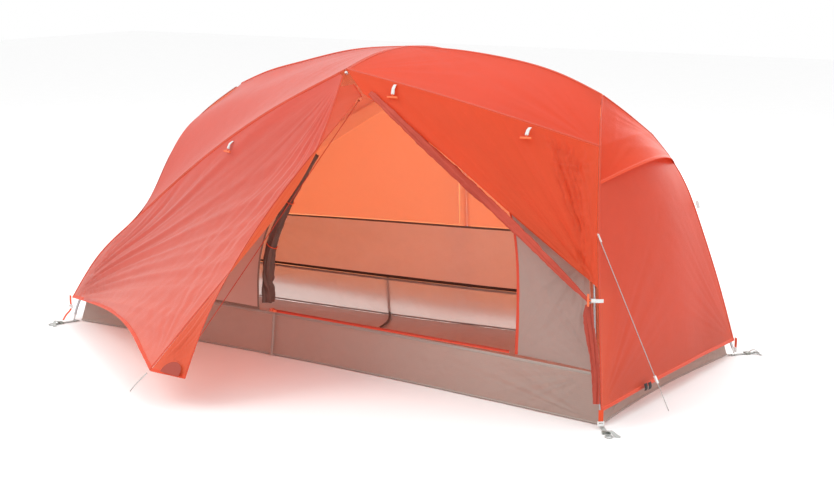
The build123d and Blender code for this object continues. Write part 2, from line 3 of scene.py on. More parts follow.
import bpy
import numpy as np
from bpy.props import FloatProperty, FloatVectorProperty, IntProperty, PointerProperty
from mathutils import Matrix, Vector


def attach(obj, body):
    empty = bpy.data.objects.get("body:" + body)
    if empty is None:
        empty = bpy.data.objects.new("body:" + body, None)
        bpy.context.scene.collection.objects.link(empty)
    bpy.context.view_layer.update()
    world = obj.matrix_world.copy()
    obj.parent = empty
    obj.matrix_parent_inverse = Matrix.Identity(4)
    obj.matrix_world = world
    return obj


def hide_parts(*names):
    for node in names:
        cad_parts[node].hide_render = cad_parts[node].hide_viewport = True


bl_info = {
    "name": "Tent on poles",
    "version": (1, 0, 0),
    "blender": (4, 5, 0),
    "location": "View3D > Sidebar > Tent",
    "description": "Dresses a packed tent frame with its cloth, mesh, cords, hardware and studio",
    "category": "Object",
}

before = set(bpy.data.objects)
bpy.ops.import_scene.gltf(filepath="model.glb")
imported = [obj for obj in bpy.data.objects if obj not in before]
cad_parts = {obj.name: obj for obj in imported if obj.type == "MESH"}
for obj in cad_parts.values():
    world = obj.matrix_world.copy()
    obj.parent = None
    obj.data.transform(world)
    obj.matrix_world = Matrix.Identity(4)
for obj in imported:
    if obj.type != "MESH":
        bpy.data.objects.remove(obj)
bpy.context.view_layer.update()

FLY = "rainfly"
INNER = "inner_and_poles"


# ---------------------------------------------------------------- settings


def length_prop(name, text, value):
    return FloatProperty(name=name, description=text, default=value, subtype="DISTANCE", unit="LENGTH")


def colour_prop(name, text, value):
    return FloatVectorProperty(
        name=name, description=text, default=value, size=3, subtype="COLOR", min=0, max=1,
    )


def share_prop(name, text, value):
    return FloatProperty(name=name, description=text, default=value, min=0, max=1, subtype="FACTOR")


class TentSizes(bpy.types.PropertyGroup):
    grid: length_prop("Ripstop square", "Spacing of the thick yarns in the cloth", 0.0055)
    seam: length_prop("Seam width", "Width of a felled seam", 0.009)
    hem: length_prop("Hem width", "Width of a folded hem", 0.012)
    stitch: length_prop("Stitch pitch", "Length of one stitch with its gap", 0.0042)
    fold: length_prop("Fold height", "Height of the longest tension folds", 0.006)
    crease: length_prop("Crease height", "Height of the small creases left by packing", 0.0011)
    camera_x: length_prop("Camera X", "Where the camera stands", 3.165)
    camera_y: length_prop("Camera Y", "Where the camera stands", -4.652)
    camera_z: length_prop("Camera Z", "How high the camera is", 1.423)
    columns: IntProperty(name="Columns", description="Points across a large panel", default=150, min=20)
    rows: IntProperty(name="Rows", description="Points down a large panel", default=130, min=20)


class TentColours(bpy.types.PropertyGroup):
    fly: colour_prop("Rainfly", "Coated cloth of the rainfly's near roof", (0.80, 0.080, 0.024))
    # The far end colour is the fly cloth made pinker and lighter: a painted sheen where the foot end and
    # vestibule catch the light at a glancing angle.
    fly_far_sheen: colour_prop("Far end", "Cloth at the foot end and on the vestibule", (0.72, 0.140, 0.105))
    # The head end colour is the fly cloth darkened: painted shade on the head panel, which faces away from
    # the key lamp.
    fly_head: colour_prop("Head end", "Cloth of the long panel at the head", (0.70, 0.095, 0.046))
    fly_glow: colour_prop("Rainfly glow", "Light that comes through the rainfly", (0.98, 0.17, 0.055))
    # The folded cloth colour is the fly cloth darkened: painted shade in the folds of the rolled door and its
    # tail.
    dark: colour_prop("Folded cloth", "Cloth several layers deep", (0.50, 0.060, 0.032))
    trim: colour_prop("Trim", "Bright trim, toggles and zips", (0.86, 0.09, 0.025))
    tub: colour_prop("Tub", "Coated cloth of the floor and tub", (0.42, 0.34, 0.30))
    pale: colour_prop("Canopy", "Plain cloth of the inner tent", (0.84, 0.76, 0.71))
    mesh: colour_prop("Mesh", "Sheer upper cloth of the inner tent", (0.90, 0.70, 0.60))
    door: colour_prop("Inner door", "Bunched mesh of the inner door", (0.20, 0.115, 0.092))
    web: colour_prop("Webbing", "Grey webbing and cord", (0.52, 0.53, 0.51))
    white: colour_prop("Pale plastic", "Buckles and tabs", (0.80, 0.81, 0.80))
    glow: share_prop("Rainfly translucency", "Share of light let through the rainfly", 0.46)
    glow_inner: share_prop("Canopy translucency", "Share of light let through the canopy", 0.5)


# ---------------------------------------------------------------- shader maths


class Sock:
    """One output socket. Ordinary operators on it add maths nodes."""

    def __init__(self, paint, out):
        self.paint = paint
        self.out = out

    def maths(self, operation, *others, clamp=False):
        terms = {f"_{i}": v for i, v in enumerate((self, *others))}
        return self.paint.add("ShaderNodeMath", {"operation": operation, "use_clamp": clamp}, **terms)

    def __add__(self, o): return self.maths("ADD", o)
    def __radd__(self, o): return self.maths("ADD", o)
    def __sub__(self, o): return self.maths("SUBTRACT", o)
    def __rsub__(self, o): return (self * -1).maths("ADD", o)
    def __mul__(self, o): return self.maths("MULTIPLY", o)
    def __rmul__(self, o): return self.maths("MULTIPLY", o)
    def __truediv__(self, o): return self.maths("DIVIDE", o)
    def __rtruediv__(self, o): return self.maths("POWER", -1.0) * o
    def __pow__(self, o): return self.maths("POWER", o)
    def __neg__(self): return self * -1

    def fract(self): return self.maths("FRACT")
    def sin(self): return self.maths("SINE")
    def abs(self): return self.maths("ABSOLUTE")
    def most(self, o): return self.maths("MAXIMUM", o)
    def least(self, o): return self.maths("MINIMUM", o)
    def above(self, o): return self.maths("GREATER_THAN", o)
    def clamp(self): return self.maths("ADD", 0.0, clamp=True)

    def ramp(self, low, high, start=0.0, end=1.0):
        names = {"Value": self, "From_Min": low, "From_Max": high, "To_Min": start, "To_Max": end}
        return self.paint.add("ShaderNodeMapRange", {"interpolation_type": "SMOOTHSTEP"}, **names)


class Paint:
    """A material as it is built. add() makes any node; its inputs are values or sockets."""

    def __init__(self, name):
        self.mat = bpy.data.materials.new(name)
        self.mat.use_nodes = True
        self.tree = self.mat.node_tree
        self.tree.nodes.clear()

    def add(self, kind, settings=None, out=0, **inputs):
        node = self.tree.nodes.new(kind)
        for key, value in (settings or {}).items():
            setattr(node, key, value)
        for key, value in inputs.items():
            slot = node.inputs[int(key[1:])] if key[0] == "_" else node.inputs[key.replace("_", " ")]
            if isinstance(value, Sock):
                self.tree.links.new(value.out, slot)
            elif hasattr(value, "__len__") and slot.type == "RGBA":
                slot.default_value = (*value[:3], 1)
            else:
                slot.default_value = value
        return Sock(self, node.outputs[out]) if node.outputs else node

    def mix(self, share, a, b):
        return self.add("ShaderNodeMix", {"data_type": "RGBA"}, 2, _0=share, _6=a, _7=b)

    def noise(self, where, scale, detail=2.0, rough=0.5, twist=0.0):
        names = {"Vector": where, "Scale": scale, "Detail": detail, "Roughness": rough, "Distortion": twist}
        return self.add("ShaderNodeTexNoise", {}, **names)

    def bump(self, height, strength, distance, under=None):
        names = {"Height": height, "Strength": strength, "Distance": distance}
        if under:
            names["Normal"] = under
        return self.add("ShaderNodeBump", {}, **names)

    def finish(self, shader):
        self.add("ShaderNodeOutputMaterial", {}, Surface=shader)
        return self.mat

    def flat_axes(self):
        """The two distances across the cloth, in metres, as its map holds them."""
        where = self.add("ShaderNodeUVMap", {"uv_map": "cloth"})
        split = self.add("ShaderNodeSeparateXYZ", {}, Vector=where)
        return where, split, Sock(self, split.out.node.outputs[1])


def cloth_paint(name, colour, glow, through, grid, rough=0.44, tone=0.12, sheen=0.04, weave=0.35, wear=1.0):
    """Thin woven cloth: ripstop squares, fine yarns, soft creases, and light that comes through."""
    p = Paint(name)
    where, across, down = p.flat_axes()
    body = p.add("ShaderNodeTexCoord", {}, 3)
    lines = (across / grid).fract() - 0.5
    other = (down / grid).fract() - 0.5
    yarn = lines.abs().most(other.abs()).ramp(0.41, 0.49)
    fine = ((across * 5200).sin() * (down * 5200).sin()).ramp(-1.0, 1.0)
    broad = p.noise(body, 2.2, 3.0, 0.6, 0.4)
    small = p.noise(body, 19.0, 4.0, 0.55, 0.9)
    grain = p.noise(where, 520.0, 2.0)
    # Painted shade: the small and grain noise also raise the creases and the grain below, so the cloth is
    # darker in their hollows and lighter on their ridges; the broad noise is tone that varies at random.
    shade = (broad - 0.5) * tone * 1.6 + (small - 0.5) * tone + (grain - 0.5) * 0.05 - yarn * 0.05
    deep = [c * 0.62 for c in colour]
    light = [min(1, c * 1.22 + 0.012) for c in colour]
    tint = p.mix((shade + 0.5).clamp(), deep, light)
    relief = yarn * 0.6 + fine * 0.25 + grain * 0.2
    creases = p.bump(small, 0.22 * wear, 0.004)
    normal = p.bump(relief, weave, 0.00035, creases)
    face = p.add(
        "ShaderNodeBsdfPrincipled", {}, Base_Color=tint, Roughness=(grain - 0.5) * 0.14 + yarn * 0.05 + rough,
        Normal=normal, Sheen_Weight=sheen, Sheen_Roughness=0.45, Specular_IOR_Level=0.26,
    )
    if not through:
        return p.finish(face)
    back = p.add("ShaderNodeBsdfTranslucent", {}, Color=glow, Normal=normal)
    share = (through + (small - 0.5) * 0.04 - yarn * 0.05).clamp()
    return p.finish(p.add("ShaderNodeMixShader", {}, _0=share, _1=face, _2=back))


def mesh_paint(name, colour, glow, pitch, open_share, through):
    """Fine netting: round holes between yarns, seen as part clear cloth."""
    p = Paint(name)
    _, across, down = p.flat_axes()
    u = ((across / pitch).fract() - 0.5) ** 2
    v = ((down / pitch).fract() - 0.5) ** 2
    hole = (u + v).ramp(0.11, 0.19, 1.0, 0.0)
    body = p.add("ShaderNodeTexCoord", {}, 3)
    broad = p.noise(body, 3.0, 3.0)
    tint = p.mix(broad, [c * 0.85 for c in colour], colour)
    face = p.add("ShaderNodeBsdfPrincipled", {}, Base_Color=tint, Roughness=0.75, Specular_IOR_Level=0.25)
    back = p.add("ShaderNodeBsdfTranslucent", {}, Color=glow)
    yarns = p.add("ShaderNodeMixShader", {}, _0=through, _1=face, _2=back)
    clear = p.add("ShaderNodeBsdfTransparent", {})
    return p.finish(p.add("ShaderNodeMixShader", {}, _0=hole * open_share, _1=yarns, _2=clear))


def trim_paint(name, colour, pitch, rough=0.6, ribs=9.0, stitched=False):
    """Tape and webbing: ribs along its length, with a line of stitches near each edge if sewn."""
    p = Paint(name)
    where, across, down = p.flat_axes()
    rib = (across * (math.pi * 2 * ribs / 0.012)).sin()
    twill = ((across + down) * 4200).sin()
    grain = p.noise(where, 700.0, 2.0)
    relief = rib * 0.4 + twill * 0.35 + grain * 0.3
    # Painted shade: the tint follows the ribs and grain that also make the relief, darker in the grooves.
    shade = (grain - 0.5) * 0.35 + rib * 0.08 + 0.5
    tint = p.mix(shade.clamp(), [c * 0.66 for c in colour], [min(1, c * 1.15) for c in colour])
    if stitched:
        edge = ((across - 0.5).abs() - 0.34).abs().ramp(0.0, 0.07, 1.0, 0.0)
        gap = ((down / pitch).fract() - 0.5).abs().ramp(0.30, 0.42, 1.0, 0.0)
        thread = edge * gap
        tint = p.mix(thread * 0.75, tint, [min(1, c * 1.5 + 0.02) for c in colour])
        relief = relief * 0.15 + thread - edge * 0.8
    normal = p.bump(relief, 0.5, 0.0004)
    return p.finish(
        p.add(
            "ShaderNodeBsdfPrincipled", {}, Base_Color=tint, Roughness=rough, Normal=normal,
            Sheen_Weight=0.05, Specular_IOR_Level=0.25,
        )
    )


def hard_paint(name, colour, rough=0.45, metal=0.0, fleck=0.1, coat=0.0):
    """Moulded plastic or metal with faint mottling and scuffs."""
    p = Paint(name)
    body = p.add("ShaderNodeTexCoord", {}, 3)
    broad = p.noise(body, 60.0, 4.0, 0.6)
    fine = p.noise(body, 900.0, 3.0)
    scuff = p.noise(body, 240.0, 5.0, 0.7, 1.5).ramp(0.56, 0.72)
    tint = p.mix(
        ((broad - 0.5) * fleck * 4 + 0.5).clamp(), [c * 0.8 for c in colour],
        [min(1, c * 1.15) for c in colour]
    )
    worn = (fine - 0.5) * 0.2 + scuff * 0.12 + rough
    normal = p.bump(fine + scuff * 0.4, 0.18, 0.0004)
    return p.finish(
        p.add(
            "ShaderNodeBsdfPrincipled", {}, Base_Color=tint, Roughness=worn, Metallic=metal, Normal=normal,
            Coat_Weight=coat,
        )
    )


# ---------------------------------------------------------------- lines and sheets


def rail(*points):
    """A smooth line through the points; call it with shares of its length."""
    pts = np.array(points, float)
    t = np.concatenate([[0], np.cumsum(np.linalg.norm(np.diff(pts, axis=0), axis=1))])
    n = len(pts)
    if n == 2:
        slope = np.tile((pts[1] - pts[0]) / t[1], (2, 1))
    else:
        h = np.diff(t)
        grid = np.zeros((n, n))
        right = np.zeros((n, 3))
        rise = np.diff(pts, axis=0) / h[:, None]
        grid[0, :2] = 2 * h[0], h[0]
        right[0] = 3 * rise[0] * h[0]
        grid[-1, -2:] = h[-1], 2 * h[-1]
        right[-1] = 3 * rise[-1] * h[-1]
        for i in range(1, n - 1):
            grid[i, i - 1 : i + 2] = h[i], 2 * (h[i - 1] + h[i]), h[i - 1]
            right[i] = 3 * (h[i] * rise[i - 1] + h[i - 1] * rise[i])
        slope = np.linalg.solve(grid, right)

    def at(s):
        s = np.atleast_1d(np.asarray(s, float)) * t[-1]
        k = np.clip(np.searchsorted(t, s, side="right") - 1, 0, n - 2)
        w = t[k + 1] - t[k]
        x = ((s - t[k]) / w)[:, None]
        w = w[:, None]
        return (
            pts[k] * (1 + 2 * x) * (1 - x) ** 2
            + slope[k] * w * x * (1 - x) ** 2
            + pts[k + 1] * x**2 * (3 - 2 * x)
            + slope[k + 1] * w * x**2 * (x - 1)
        )

    return at


def joined(first, second, share):
    def at(s):
        s = np.atleast_1d(np.asarray(s, float))
        early = first(np.clip(s / share, 0, 1))
        late = second(np.clip((s - share) / (1 - share), 0, 1))
        return np.where((s < share)[:, None], early, late)

    return at


def part_of(line, start, end):
    return lambda s: line(start + (end - start) * np.atleast_1d(np.asarray(s, float)))


def back_of(line):
    return lambda s: line(s) * (1, -1, 1)


def moved(line, x=0, y=0, z=0):
    return lambda s: line(s) + (x, y, z)


def patch(top, bottom, left, right, nu, nv, span=(0, 1), inset=0.0015):
    u = np.linspace(inset, 1 - inset, nu)
    v = np.linspace(max(span[0], inset), min(span[1], 1 - inset), nv)
    u3 = u[None, :, None]
    v3 = v[:, None, None]
    t, b, l, r = top(u)[None], bottom(u)[None], left(v)[:, None], right(v)[:, None]
    p = t * (1 - v3) + b * v3 + l * (1 - u3) + r * u3
    p = p - top(0)[None] * (1 - u3) * (1 - v3) - top(1)[None] * u3 * (1 - v3)
    return p - bottom(0)[None] * (1 - u3) * v3 - bottom(1)[None] * u3 * v3


def fan(left, right, nu, nv, low=None, start=0.012, end=0.999):
    u = np.linspace(0.002, 0.998, nu)[None, :, None]
    s = np.linspace(0, 1, nv)
    v = start + (end - start) * s
    p = left(v)[:, None] * (1 - u) + right(v)[:, None] * u
    if low is not None:
        sag = low(u.ravel()) - (low(0) * (1 - u[0]) + low(1) * u[0])
        p = p + sag[None] * (s**3)[:, None, None]
    return p


def unit(v):
    return v / np.maximum(np.linalg.norm(v, axis=-1, keepdims=True), 1e-12)


def facing(p, out):
    """Unit normals of a grid, on the side of out."""
    n = unit(np.cross(np.gradient(p, axis=1), np.gradient(p, axis=0)))
    flip = np.sign((n * np.asarray(out, float)).sum(-1).mean())
    return n * (flip or 1)


def hum(x, seed, octaves=3):
    """Smooth repeatable noise about zero along one number."""
    total = 0
    for k in range(octaves):
        a = 1.7 ** k
        total = total + np.sin(
            x * a * 2.1 + seed * 12.9 + k * 4.1 + 1.3 * np.sin(x * a * 0.83 + seed + k)
        ) / a
    return total / 1.8


def ripple(p, scale, seed):
    """Smooth repeatable noise about zero through space."""
    rng = np.random.default_rng(seed)
    total = 0
    for k in range(7):
        way = unit(rng.normal(size=3)) / scale * rng.uniform(0.6, 1.7)
        total = total + np.sin(p @ way * 6.28 + rng.uniform(0, 6.28) + 1.2 * np.sin(p @ way[::-1] * 3.1))
    return total / 7


def folds_from(p, corner, along, height, reach, count, seed, spread=1.2):
    """Tension folds that fan out of a held corner and die away with distance."""
    d = p - np.asarray(corner, float)
    r = np.linalg.norm(d, axis=-1)
    along = unit(np.asarray(along, float))
    n = unit(facing(p, (0, 0, 1)).mean((0, 1)))
    side = unit(np.cross(n, along))
    angle = np.arctan2(d @ side, d @ along)
    wave = hum(angle * count, seed)
    grow = np.clip(r / (reach * 0.18), 0, 1)
    fade = np.exp(-((r / reach) ** 1.4)) * np.exp(-((angle / spread) ** 2))
    return height * grow * fade * wave


def pulled(p, out, height):
    return p + facing(p, out) * height[..., None]


def grid_mesh(name, p, closed=False, axis=None):
    """A mesh over a grid of points, with a map in metres across the cloth."""
    nv, nu = p.shape[:2]
    cols = nu if closed else nu - 1
    j, i = np.meshgrid(np.arange(nv - 1), np.arange(cols), indexing="ij")
    k = (i + 1) % nu
    faces = np.stack([j * nu + i, j * nu + k, (j + 1) * nu + k, (j + 1) * nu + i], -1).reshape(-1, 4)
    mesh = bpy.data.meshes.new(name)
    mesh.from_pydata(p.reshape(-1, 3).tolist(), [], faces.tolist())
    mesh.polygons.foreach_set("use_smooth", [True] * len(mesh.polygons))
    if axis is None:
        x = unit((p[:, -1] - p[:, 0]).mean(0)) if not closed else np.array([1.0, 0, 0])
        n = unit(np.cross(x, (p[-1] - p[0]).mean(0)))
        y = np.cross(n, x)
        flat = np.stack([p @ x, p @ y], -1).reshape(-1, 2)
    elif axis == "strip":
        run = np.concatenate([[0], np.cumsum(np.linalg.norm(np.diff(p[:, 0], axis=0), axis=1))])
        flat = np.stack(
            [np.tile(np.linspace(0, 1, nu), (nv, 1)), np.tile(run[:, None], (1, nu))], -1,
        ).reshape(-1, 2)
    else:
        around = np.concatenate([[0], np.cumsum(np.linalg.norm(np.diff(p[0], axis=0), axis=1))])
        run = np.concatenate([[0], np.cumsum(np.linalg.norm(np.diff(p[:, 0], axis=0), axis=1))])
        flat = np.stack([np.tile(around, (nv, 1)), np.tile(run[:, None], (1, nu))], -1).reshape(-1, 2)
    layer = mesh.uv_layers.new(name="cloth")
    corner = np.empty(len(mesh.loops), int)
    mesh.loops.foreach_get("vertex_index", corner)
    layer.data.foreach_set("uv", flat[corner].ravel())
    mesh.validate()
    return mesh


def area_of(p):
    a = np.cross(p[:-1, 1:] - p[:-1, :-1], p[1:, :-1] - p[:-1, :-1])
    b = np.cross(p[1:, :-1] - p[1:, 1:], p[:-1, 1:] - p[1:, 1:])
    return float(np.linalg.norm(a, axis=-1).sum() + np.linalg.norm(b, axis=-1).sum()) / 2


def span_of(p):
    """Width and length of a grid's cloth: its longest row and its longest column."""
    rows = np.linalg.norm(np.diff(p, axis=1), axis=-1).sum(1)
    cols = np.linalg.norm(np.diff(p, axis=0), axis=-1).sum(0)
    return float(rows.max()), float(cols.max())


class Kit:
    """What every operator shares: materials by name, and the pieces made so far."""

    paints = {}
    made = {}
    edges = {}


def place(name, mesh, paint, body, slot, *nodes):
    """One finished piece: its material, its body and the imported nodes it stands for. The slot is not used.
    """
    data = mesh
    obj = bpy.data.objects.new(name, data)
    bpy.context.scene.collection.objects.link(obj)
    data.materials.append(Kit.paints[paint])
    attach(obj, body)
    if nodes:
        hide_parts(*nodes)
    Kit.made[name] = obj
    return obj


def cloth(name, smooth, lively, paint, body, slot, *nodes, held="stretched"):
    """A sheet shown as the lively grid; the size of the smooth grid is worked out but not used."""
    obj = place(name, grid_mesh(name, lively), paint, body, slot, *nodes)
    width, length = span_of(smooth)
    area = min(area_of(smooth), width * length)
    width = min(width, area / (0.32 * length))
    return obj


def ribbon(name, edge, inner, out, width, paint, body, slot, lift=0.0012, bulge=0.0007):
    """Seam or hem tape laid along an edge, its far side towards the inner line."""
    way = unit(inner - edge)
    t = np.linspace(-0.08, 1, 7)
    n = unit(np.cross(np.gradient(edge, axis=0), way))
    n = n * np.where((n @ np.asarray(out, float)) < 0, -1, 1)[:, None]
    high = lift + bulge * np.sin(np.clip(t, 0, 1) * math.pi)
    high[0] = high[-1] = 0.0001
    p = edge[:, None] + way[:, None] * (t * width)[None, :, None] + n[:, None] * high[None, :, None]
    obj = place(name, grid_mesh(name, p, axis="strip"), paint, body, slot)
    return obj


def tube_mesh(name, line, shape, turns=0.0):
    """A tube round a line; shape(s, angle) gives its radius at each place."""
    n = len(line)
    t = unit(np.gradient(line, axis=0))
    up = np.array([0.0, 0.0, 1.0])
    a = unit(np.cross(t, up + 0 * t))
    b = np.cross(t, a)
    s = np.linspace(0, 1, n)[:, None]
    k = 40
    angle = np.linspace(0, 2 * math.pi, k, endpoint=False)[None]
    r = shape(s, angle)
    turn = angle + turns * 2 * math.pi * s
    p = (
        line[:, None]
        + a[:, None] * (r * np.cos(turn))[..., None]
        + b[:, None] * (r * np.sin(turn))[..., None]
    )
    return p


def tent_lines():
    """The lines that the cloth hangs from, in metres."""
    hub, foot_hub = (0.860, 0, 0.930), (-0.600, 0, 0.897)
    top, end = (0.120, 0, 1.054), (0.120, -0.363, 1.000)
    head_end, foot_end = (0.951, -0.192, 0.787), (-0.905, -0.250, 0.405)
    head, foot, stake = (1.133, -0.514, 0.050), (-1.146, -0.364, 0.090), (-0.166, -1.020, 0.100)
    zip_top, zip_low, flap = (0.199, -0.380, 0.922), (0.007, -0.976, 0.229), (-0.011, -1.030, 0.100)
    g = {}
    g["ridge_head"] = rail(top, (0.300, 0, 1.051), (0.485, 0, 1.034), (0.709, 0, 0.989), hub)
    g["ridge_foot"] = rail(top, (-0.100, 0, 1.036), (-0.337, 0, 0.983), (-0.473, 0, 0.947), foot_hub)
    g["brow"] = rail(top, (0.120, -0.190, 1.040), end)
    g["head_top"] = rail(hub, (0.905, -0.098, 0.862), head_end)
    g["head_low"] = rail(
        head_end, (1.010, -0.312, 0.635), (1.050, -0.384, 0.470), (1.096, -0.458, 0.250), head,
    )
    g["foot_top"] = rail(
        foot_hub, (-0.634, -0.050, 0.850), (-0.742, -0.135, 0.748), (-0.846, -0.226, 0.505), foot_end,
    )
    g["foot_low"] = rail(foot_end, (-1.000, -0.283, 0.320), (-1.080, -0.305, 0.232), foot)
    g["seam_head"] = rail(end, (0.400, -0.350, 0.946), (0.700, -0.285, 0.868), head_end)
    g["seam_foot"] = rail(end, (-0.200, -0.345, 0.850), (-0.560, -0.308, 0.640), foot_end)
    g["vest"] = rail(end, (0.062, -0.496, 0.686), (-0.018, -0.680, 0.461), (-0.132, -0.943, 0.184), stake)
    g["zip"] = joined(rail(end, zip_top), rail(zip_top, zip_low, flap), 0.09)
    g["head_hem"] = rail(head, (1.142, 0, 0.062), (head[0], -head[1], head[2]))
    g["foot_hem"] = rail(foot, (-1.150, 0, 0.096), (foot[0], -foot[1], foot[2]))
    g["vest_hem"] = rail(stake, (-0.421, -0.832, 0.152), (-0.811, -0.563, 0.134), foot)
    g["strip_hem"] = rail(stake, flap)
    mid = (0.120, 0.428, 0.064)
    g["hem_back_foot"] = rail((foot[0], -foot[1], foot[2]), (-0.560, 0.378, 0.082), mid)
    g["hem_back_head"] = rail(mid, (0.640, 0.462, 0.058), (head[0], -head[1], head[2]))
    g["drop_back"] = rail((0.120, 0.363, 1.0), (0.120, 0.392, 0.540), mid)
    g["head_leg"] = joined(g["head_top"], g["head_low"], 0.3)
    low = [g["foot_low"](t)[0] for t in (0.12, 0.5)]
    g["foot_leg"] = rail(foot_hub, *[g["foot_top"](t)[0] for t in (0.3, 0.6, 0.9)], *low, foot)
    low = [g["foot_low"](t)[0] for t in (0.14, 0.5)]
    g["vest_top"] = rail(end, *[g["seam_foot"](t)[0] for t in (0.3, 0.6, 0.9)], *low, foot)
    g["roll"] = rail(
        (0.219, -0.372, 0.942), (0.504, -0.392, 0.752), (0.804, -0.400, 0.542), (1.054, -0.424, 0.384),
    )
    return g


# ---------------------------------------------------------------- operators


class TENT_OT_camera(bpy.types.Operator):
    """Put the camera where the reference view was taken from."""

    bl_idname = "tent.camera"
    bl_label = "Camera"

    def execute(self, context):
        s = context.scene.tent_sizes
        data = bpy.data.cameras.new("view")
        data.lens = 70
        data.sensor_width = 36
        data.clip_end = 60
        cam = bpy.data.objects.new("view", data)
        context.scene.collection.objects.link(cam)
        yaw, pitch = math.radians(32.86), math.radians(10.98)
        ahead = Vector(
            (-math.sin(yaw) * math.cos(pitch), math.cos(yaw) * math.cos(pitch), -math.sin(pitch))
        )
        cam.rotation_euler = ahead.to_track_quat("-Z", "Y").to_euler()
        cam.location = (s.camera_x, s.camera_y, s.camera_z)
        context.scene.camera = cam
        return {"FINISHED"}


def spline_cord(name, points, radius, paint, body, slot, *nodes):
    """A cord as one smooth spline through its control points."""
    curve = bpy.data.curves.new(name, "CURVE")
    curve.dimensions = "3D"
    curve.bevel_depth = radius
    curve.bevel_resolution = 5
    curve.resolution_u = 10
    run = curve.splines.new("NURBS")
    run.points.add(len(points) - 1)
    for point, where in zip(run.points, points):
        point.co = (*where, 1)
    run.order_u = min(3, len(points))
    run.use_endpoint_u = True
    return place(name, curve, paint, body, slot, *nodes)


def even_line(points, n=200):
    return rail(*points)(np.linspace(0, 1, n))


class TENT_OT_cords(bpy.types.Operator):
    """Lay the guyline and the peg cord."""

    bl_idname = "tent.cords"
    bl_label = "Cords"

    def execute(self, context):
        top, low = Vector((1.040, -0.362, 0.540)), Vector((1.237, -0.260, 0.008))
        run = (low - top).normalized()
        start = top + run * 0.014
        line = spline_cord(
            "guyline", [start, start.lerp(low, 0.5), low], 0.0013, "cord", FLY, "cord", "guyline",
        )
        peg = Vector((-0.4, -0.917, -0.75)).normalized()
        begin = Vector((-0.166, -1.020, 0.100)) + Vector((-0.004, -0.008, -0.004))
        a, b = begin + peg * 0.062, begin + peg * 0.084 + Vector((0.012, 0, 0.004))
        line = spline_cord("vestibule_cord", [begin, a, b], 0.0017, "cord", FLY, "cord", "vestibule_cord")
        return {"FINISHED"}


def stitched_edges(base, edges, out, width, paint="seam", body=FLY, slot="fly_cloth"):
    """Felled seams and hems along the named edges of a grid."""
    p = Kit.edges[base]
    lines = {
        "top": (p[0], p[6]), "bottom": (p[-1], p[-7]), "left": (p[:, 0], p[:, 6]),
        "right": (p[:, -1], p[:, -7]),
    }
    for edge in edges:
        a, b = lines[edge]
        ribbon(f"{base}_{edge}_seam", a, b, out, width, paint, body, slot)


class TENT_OT_roof(bpy.types.Operator):
    """Stretch the roof panels of the rainfly over the ridge and the cross pole."""

    bl_idname = "tent.roof"
    bl_label = "Roof panels"

    def execute(self, context):
        s = context.scene.tent_sizes
        g = tent_lines()
        parts = (
            ("head", g["ridge_head"], g["seam_head"], g["head_top"], 1),
            ("foot", g["ridge_foot"], g["seam_foot"], g["foot_top"], 2),
        )
        for end, ridge, seam, leg, seed in parts:
            base = patch(ridge, seam, g["brow"], leg, s.columns, s.rows // 2)
            for side in (-1, 1):
                smooth = base * (1, -side, 1)
                name = f"roof_{end}_{'front' if side < 0 else 'back'}"
                h = ripple(smooth, 0.34, seed + side) * s.fold * 0.35
                h = h + ripple(smooth, 0.07, seed * 3 + side) * s.crease * 0.5
                for corner, aim in (
                    (smooth[0, 0], smooth[-1, -1]), (smooth[-1, 0], smooth[0, -1]),
                    (smooth[-1, -1], smooth[0, 0]),
                ):
                    h = h + folds_from(smooth, corner, aim - corner, s.fold * 0.35, 0.35, 9, seed + 5)
                v = np.linspace(0, 1, smooth.shape[0])[:, None]
                u = np.linspace(0, 1, smooth.shape[1])[None]
                edge = np.sin(math.pi * u) ** 0.5 * np.sin(math.pi * v) ** 0.5
                lively = pulled(smooth, (0, 0, 1), h * edge - edge * 0.004)
                Kit.edges[name] = lively
                node = [f"fly_roof_{end}"]
                cloth(name, smooth, lively, "fly_far_sheen" if end == "foot" else "fly", FLY, "fly_cloth", *node)
                rims = ["bottom", "left"] + (["top"] if side < 0 else [])
                stitched_edges(name, rims, (0, 0, 1), s.seam)
        return {"FINISHED"}


class TENT_OT_back(bpy.types.Operator):
    """Hang the long back wall of the rainfly in two cloths."""

    bl_idname = "tent.back"
    bl_label = "Back wall"

    def execute(self, context):
        s = context.scene.tent_sizes
        g = tent_lines()
        parts = (
            ("head", g["seam_head"], g["hem_back_head"], g["head_low"], 4),
            ("foot", g["seam_foot"], g["hem_back_foot"], g["foot_low"], 5),
        )
        for end, seam, hem, leg, seed in parts:
            if end == "foot":
                hem = part_of(hem, 1, 0)
            smooth = patch(back_of(seam), hem, g["drop_back"], back_of(leg), s.columns, s.rows)
            h = ripple(smooth, 0.4, seed) * s.fold * 0.6 + ripple(smooth, 0.06, seed + 9) * s.crease
            corner = smooth[-1, -1]
            h = h + folds_from(smooth, corner, smooth[0, 0] - corner, s.fold * 1.1, 0.8, 11, seed)
            h = h + folds_from(
                smooth, smooth[-1, 0], smooth[0, -1] - smooth[-1, 0], s.fold * 0.5, 0.4, 9, seed + 3,
            )
            v = np.linspace(0, 1, s.rows)[:, None]
            u = np.linspace(0, 1, s.columns)[None]
            edge = (np.sin(math.pi * u) * np.minimum(1, np.sin(math.pi * v) + v**4)) ** 0.5
            lively = pulled(
                smooth, (0, 1, 0.2), h * edge - 0.008 * np.sin(math.pi * u) * np.sin(math.pi * v),
            )
            name = f"back_{end}"
            Kit.edges[name] = lively
            cloth(name, smooth, lively, "fly_back", FLY, "fly_cloth", "fly_back")
            stitched_edges(name, ["top", "left", "right"], (0, 1, 0.2), s.seam)
            stitched_edges(name, ["bottom"], (0, 1, 0.2), s.hem, "hem")
        return {"FINISHED"}


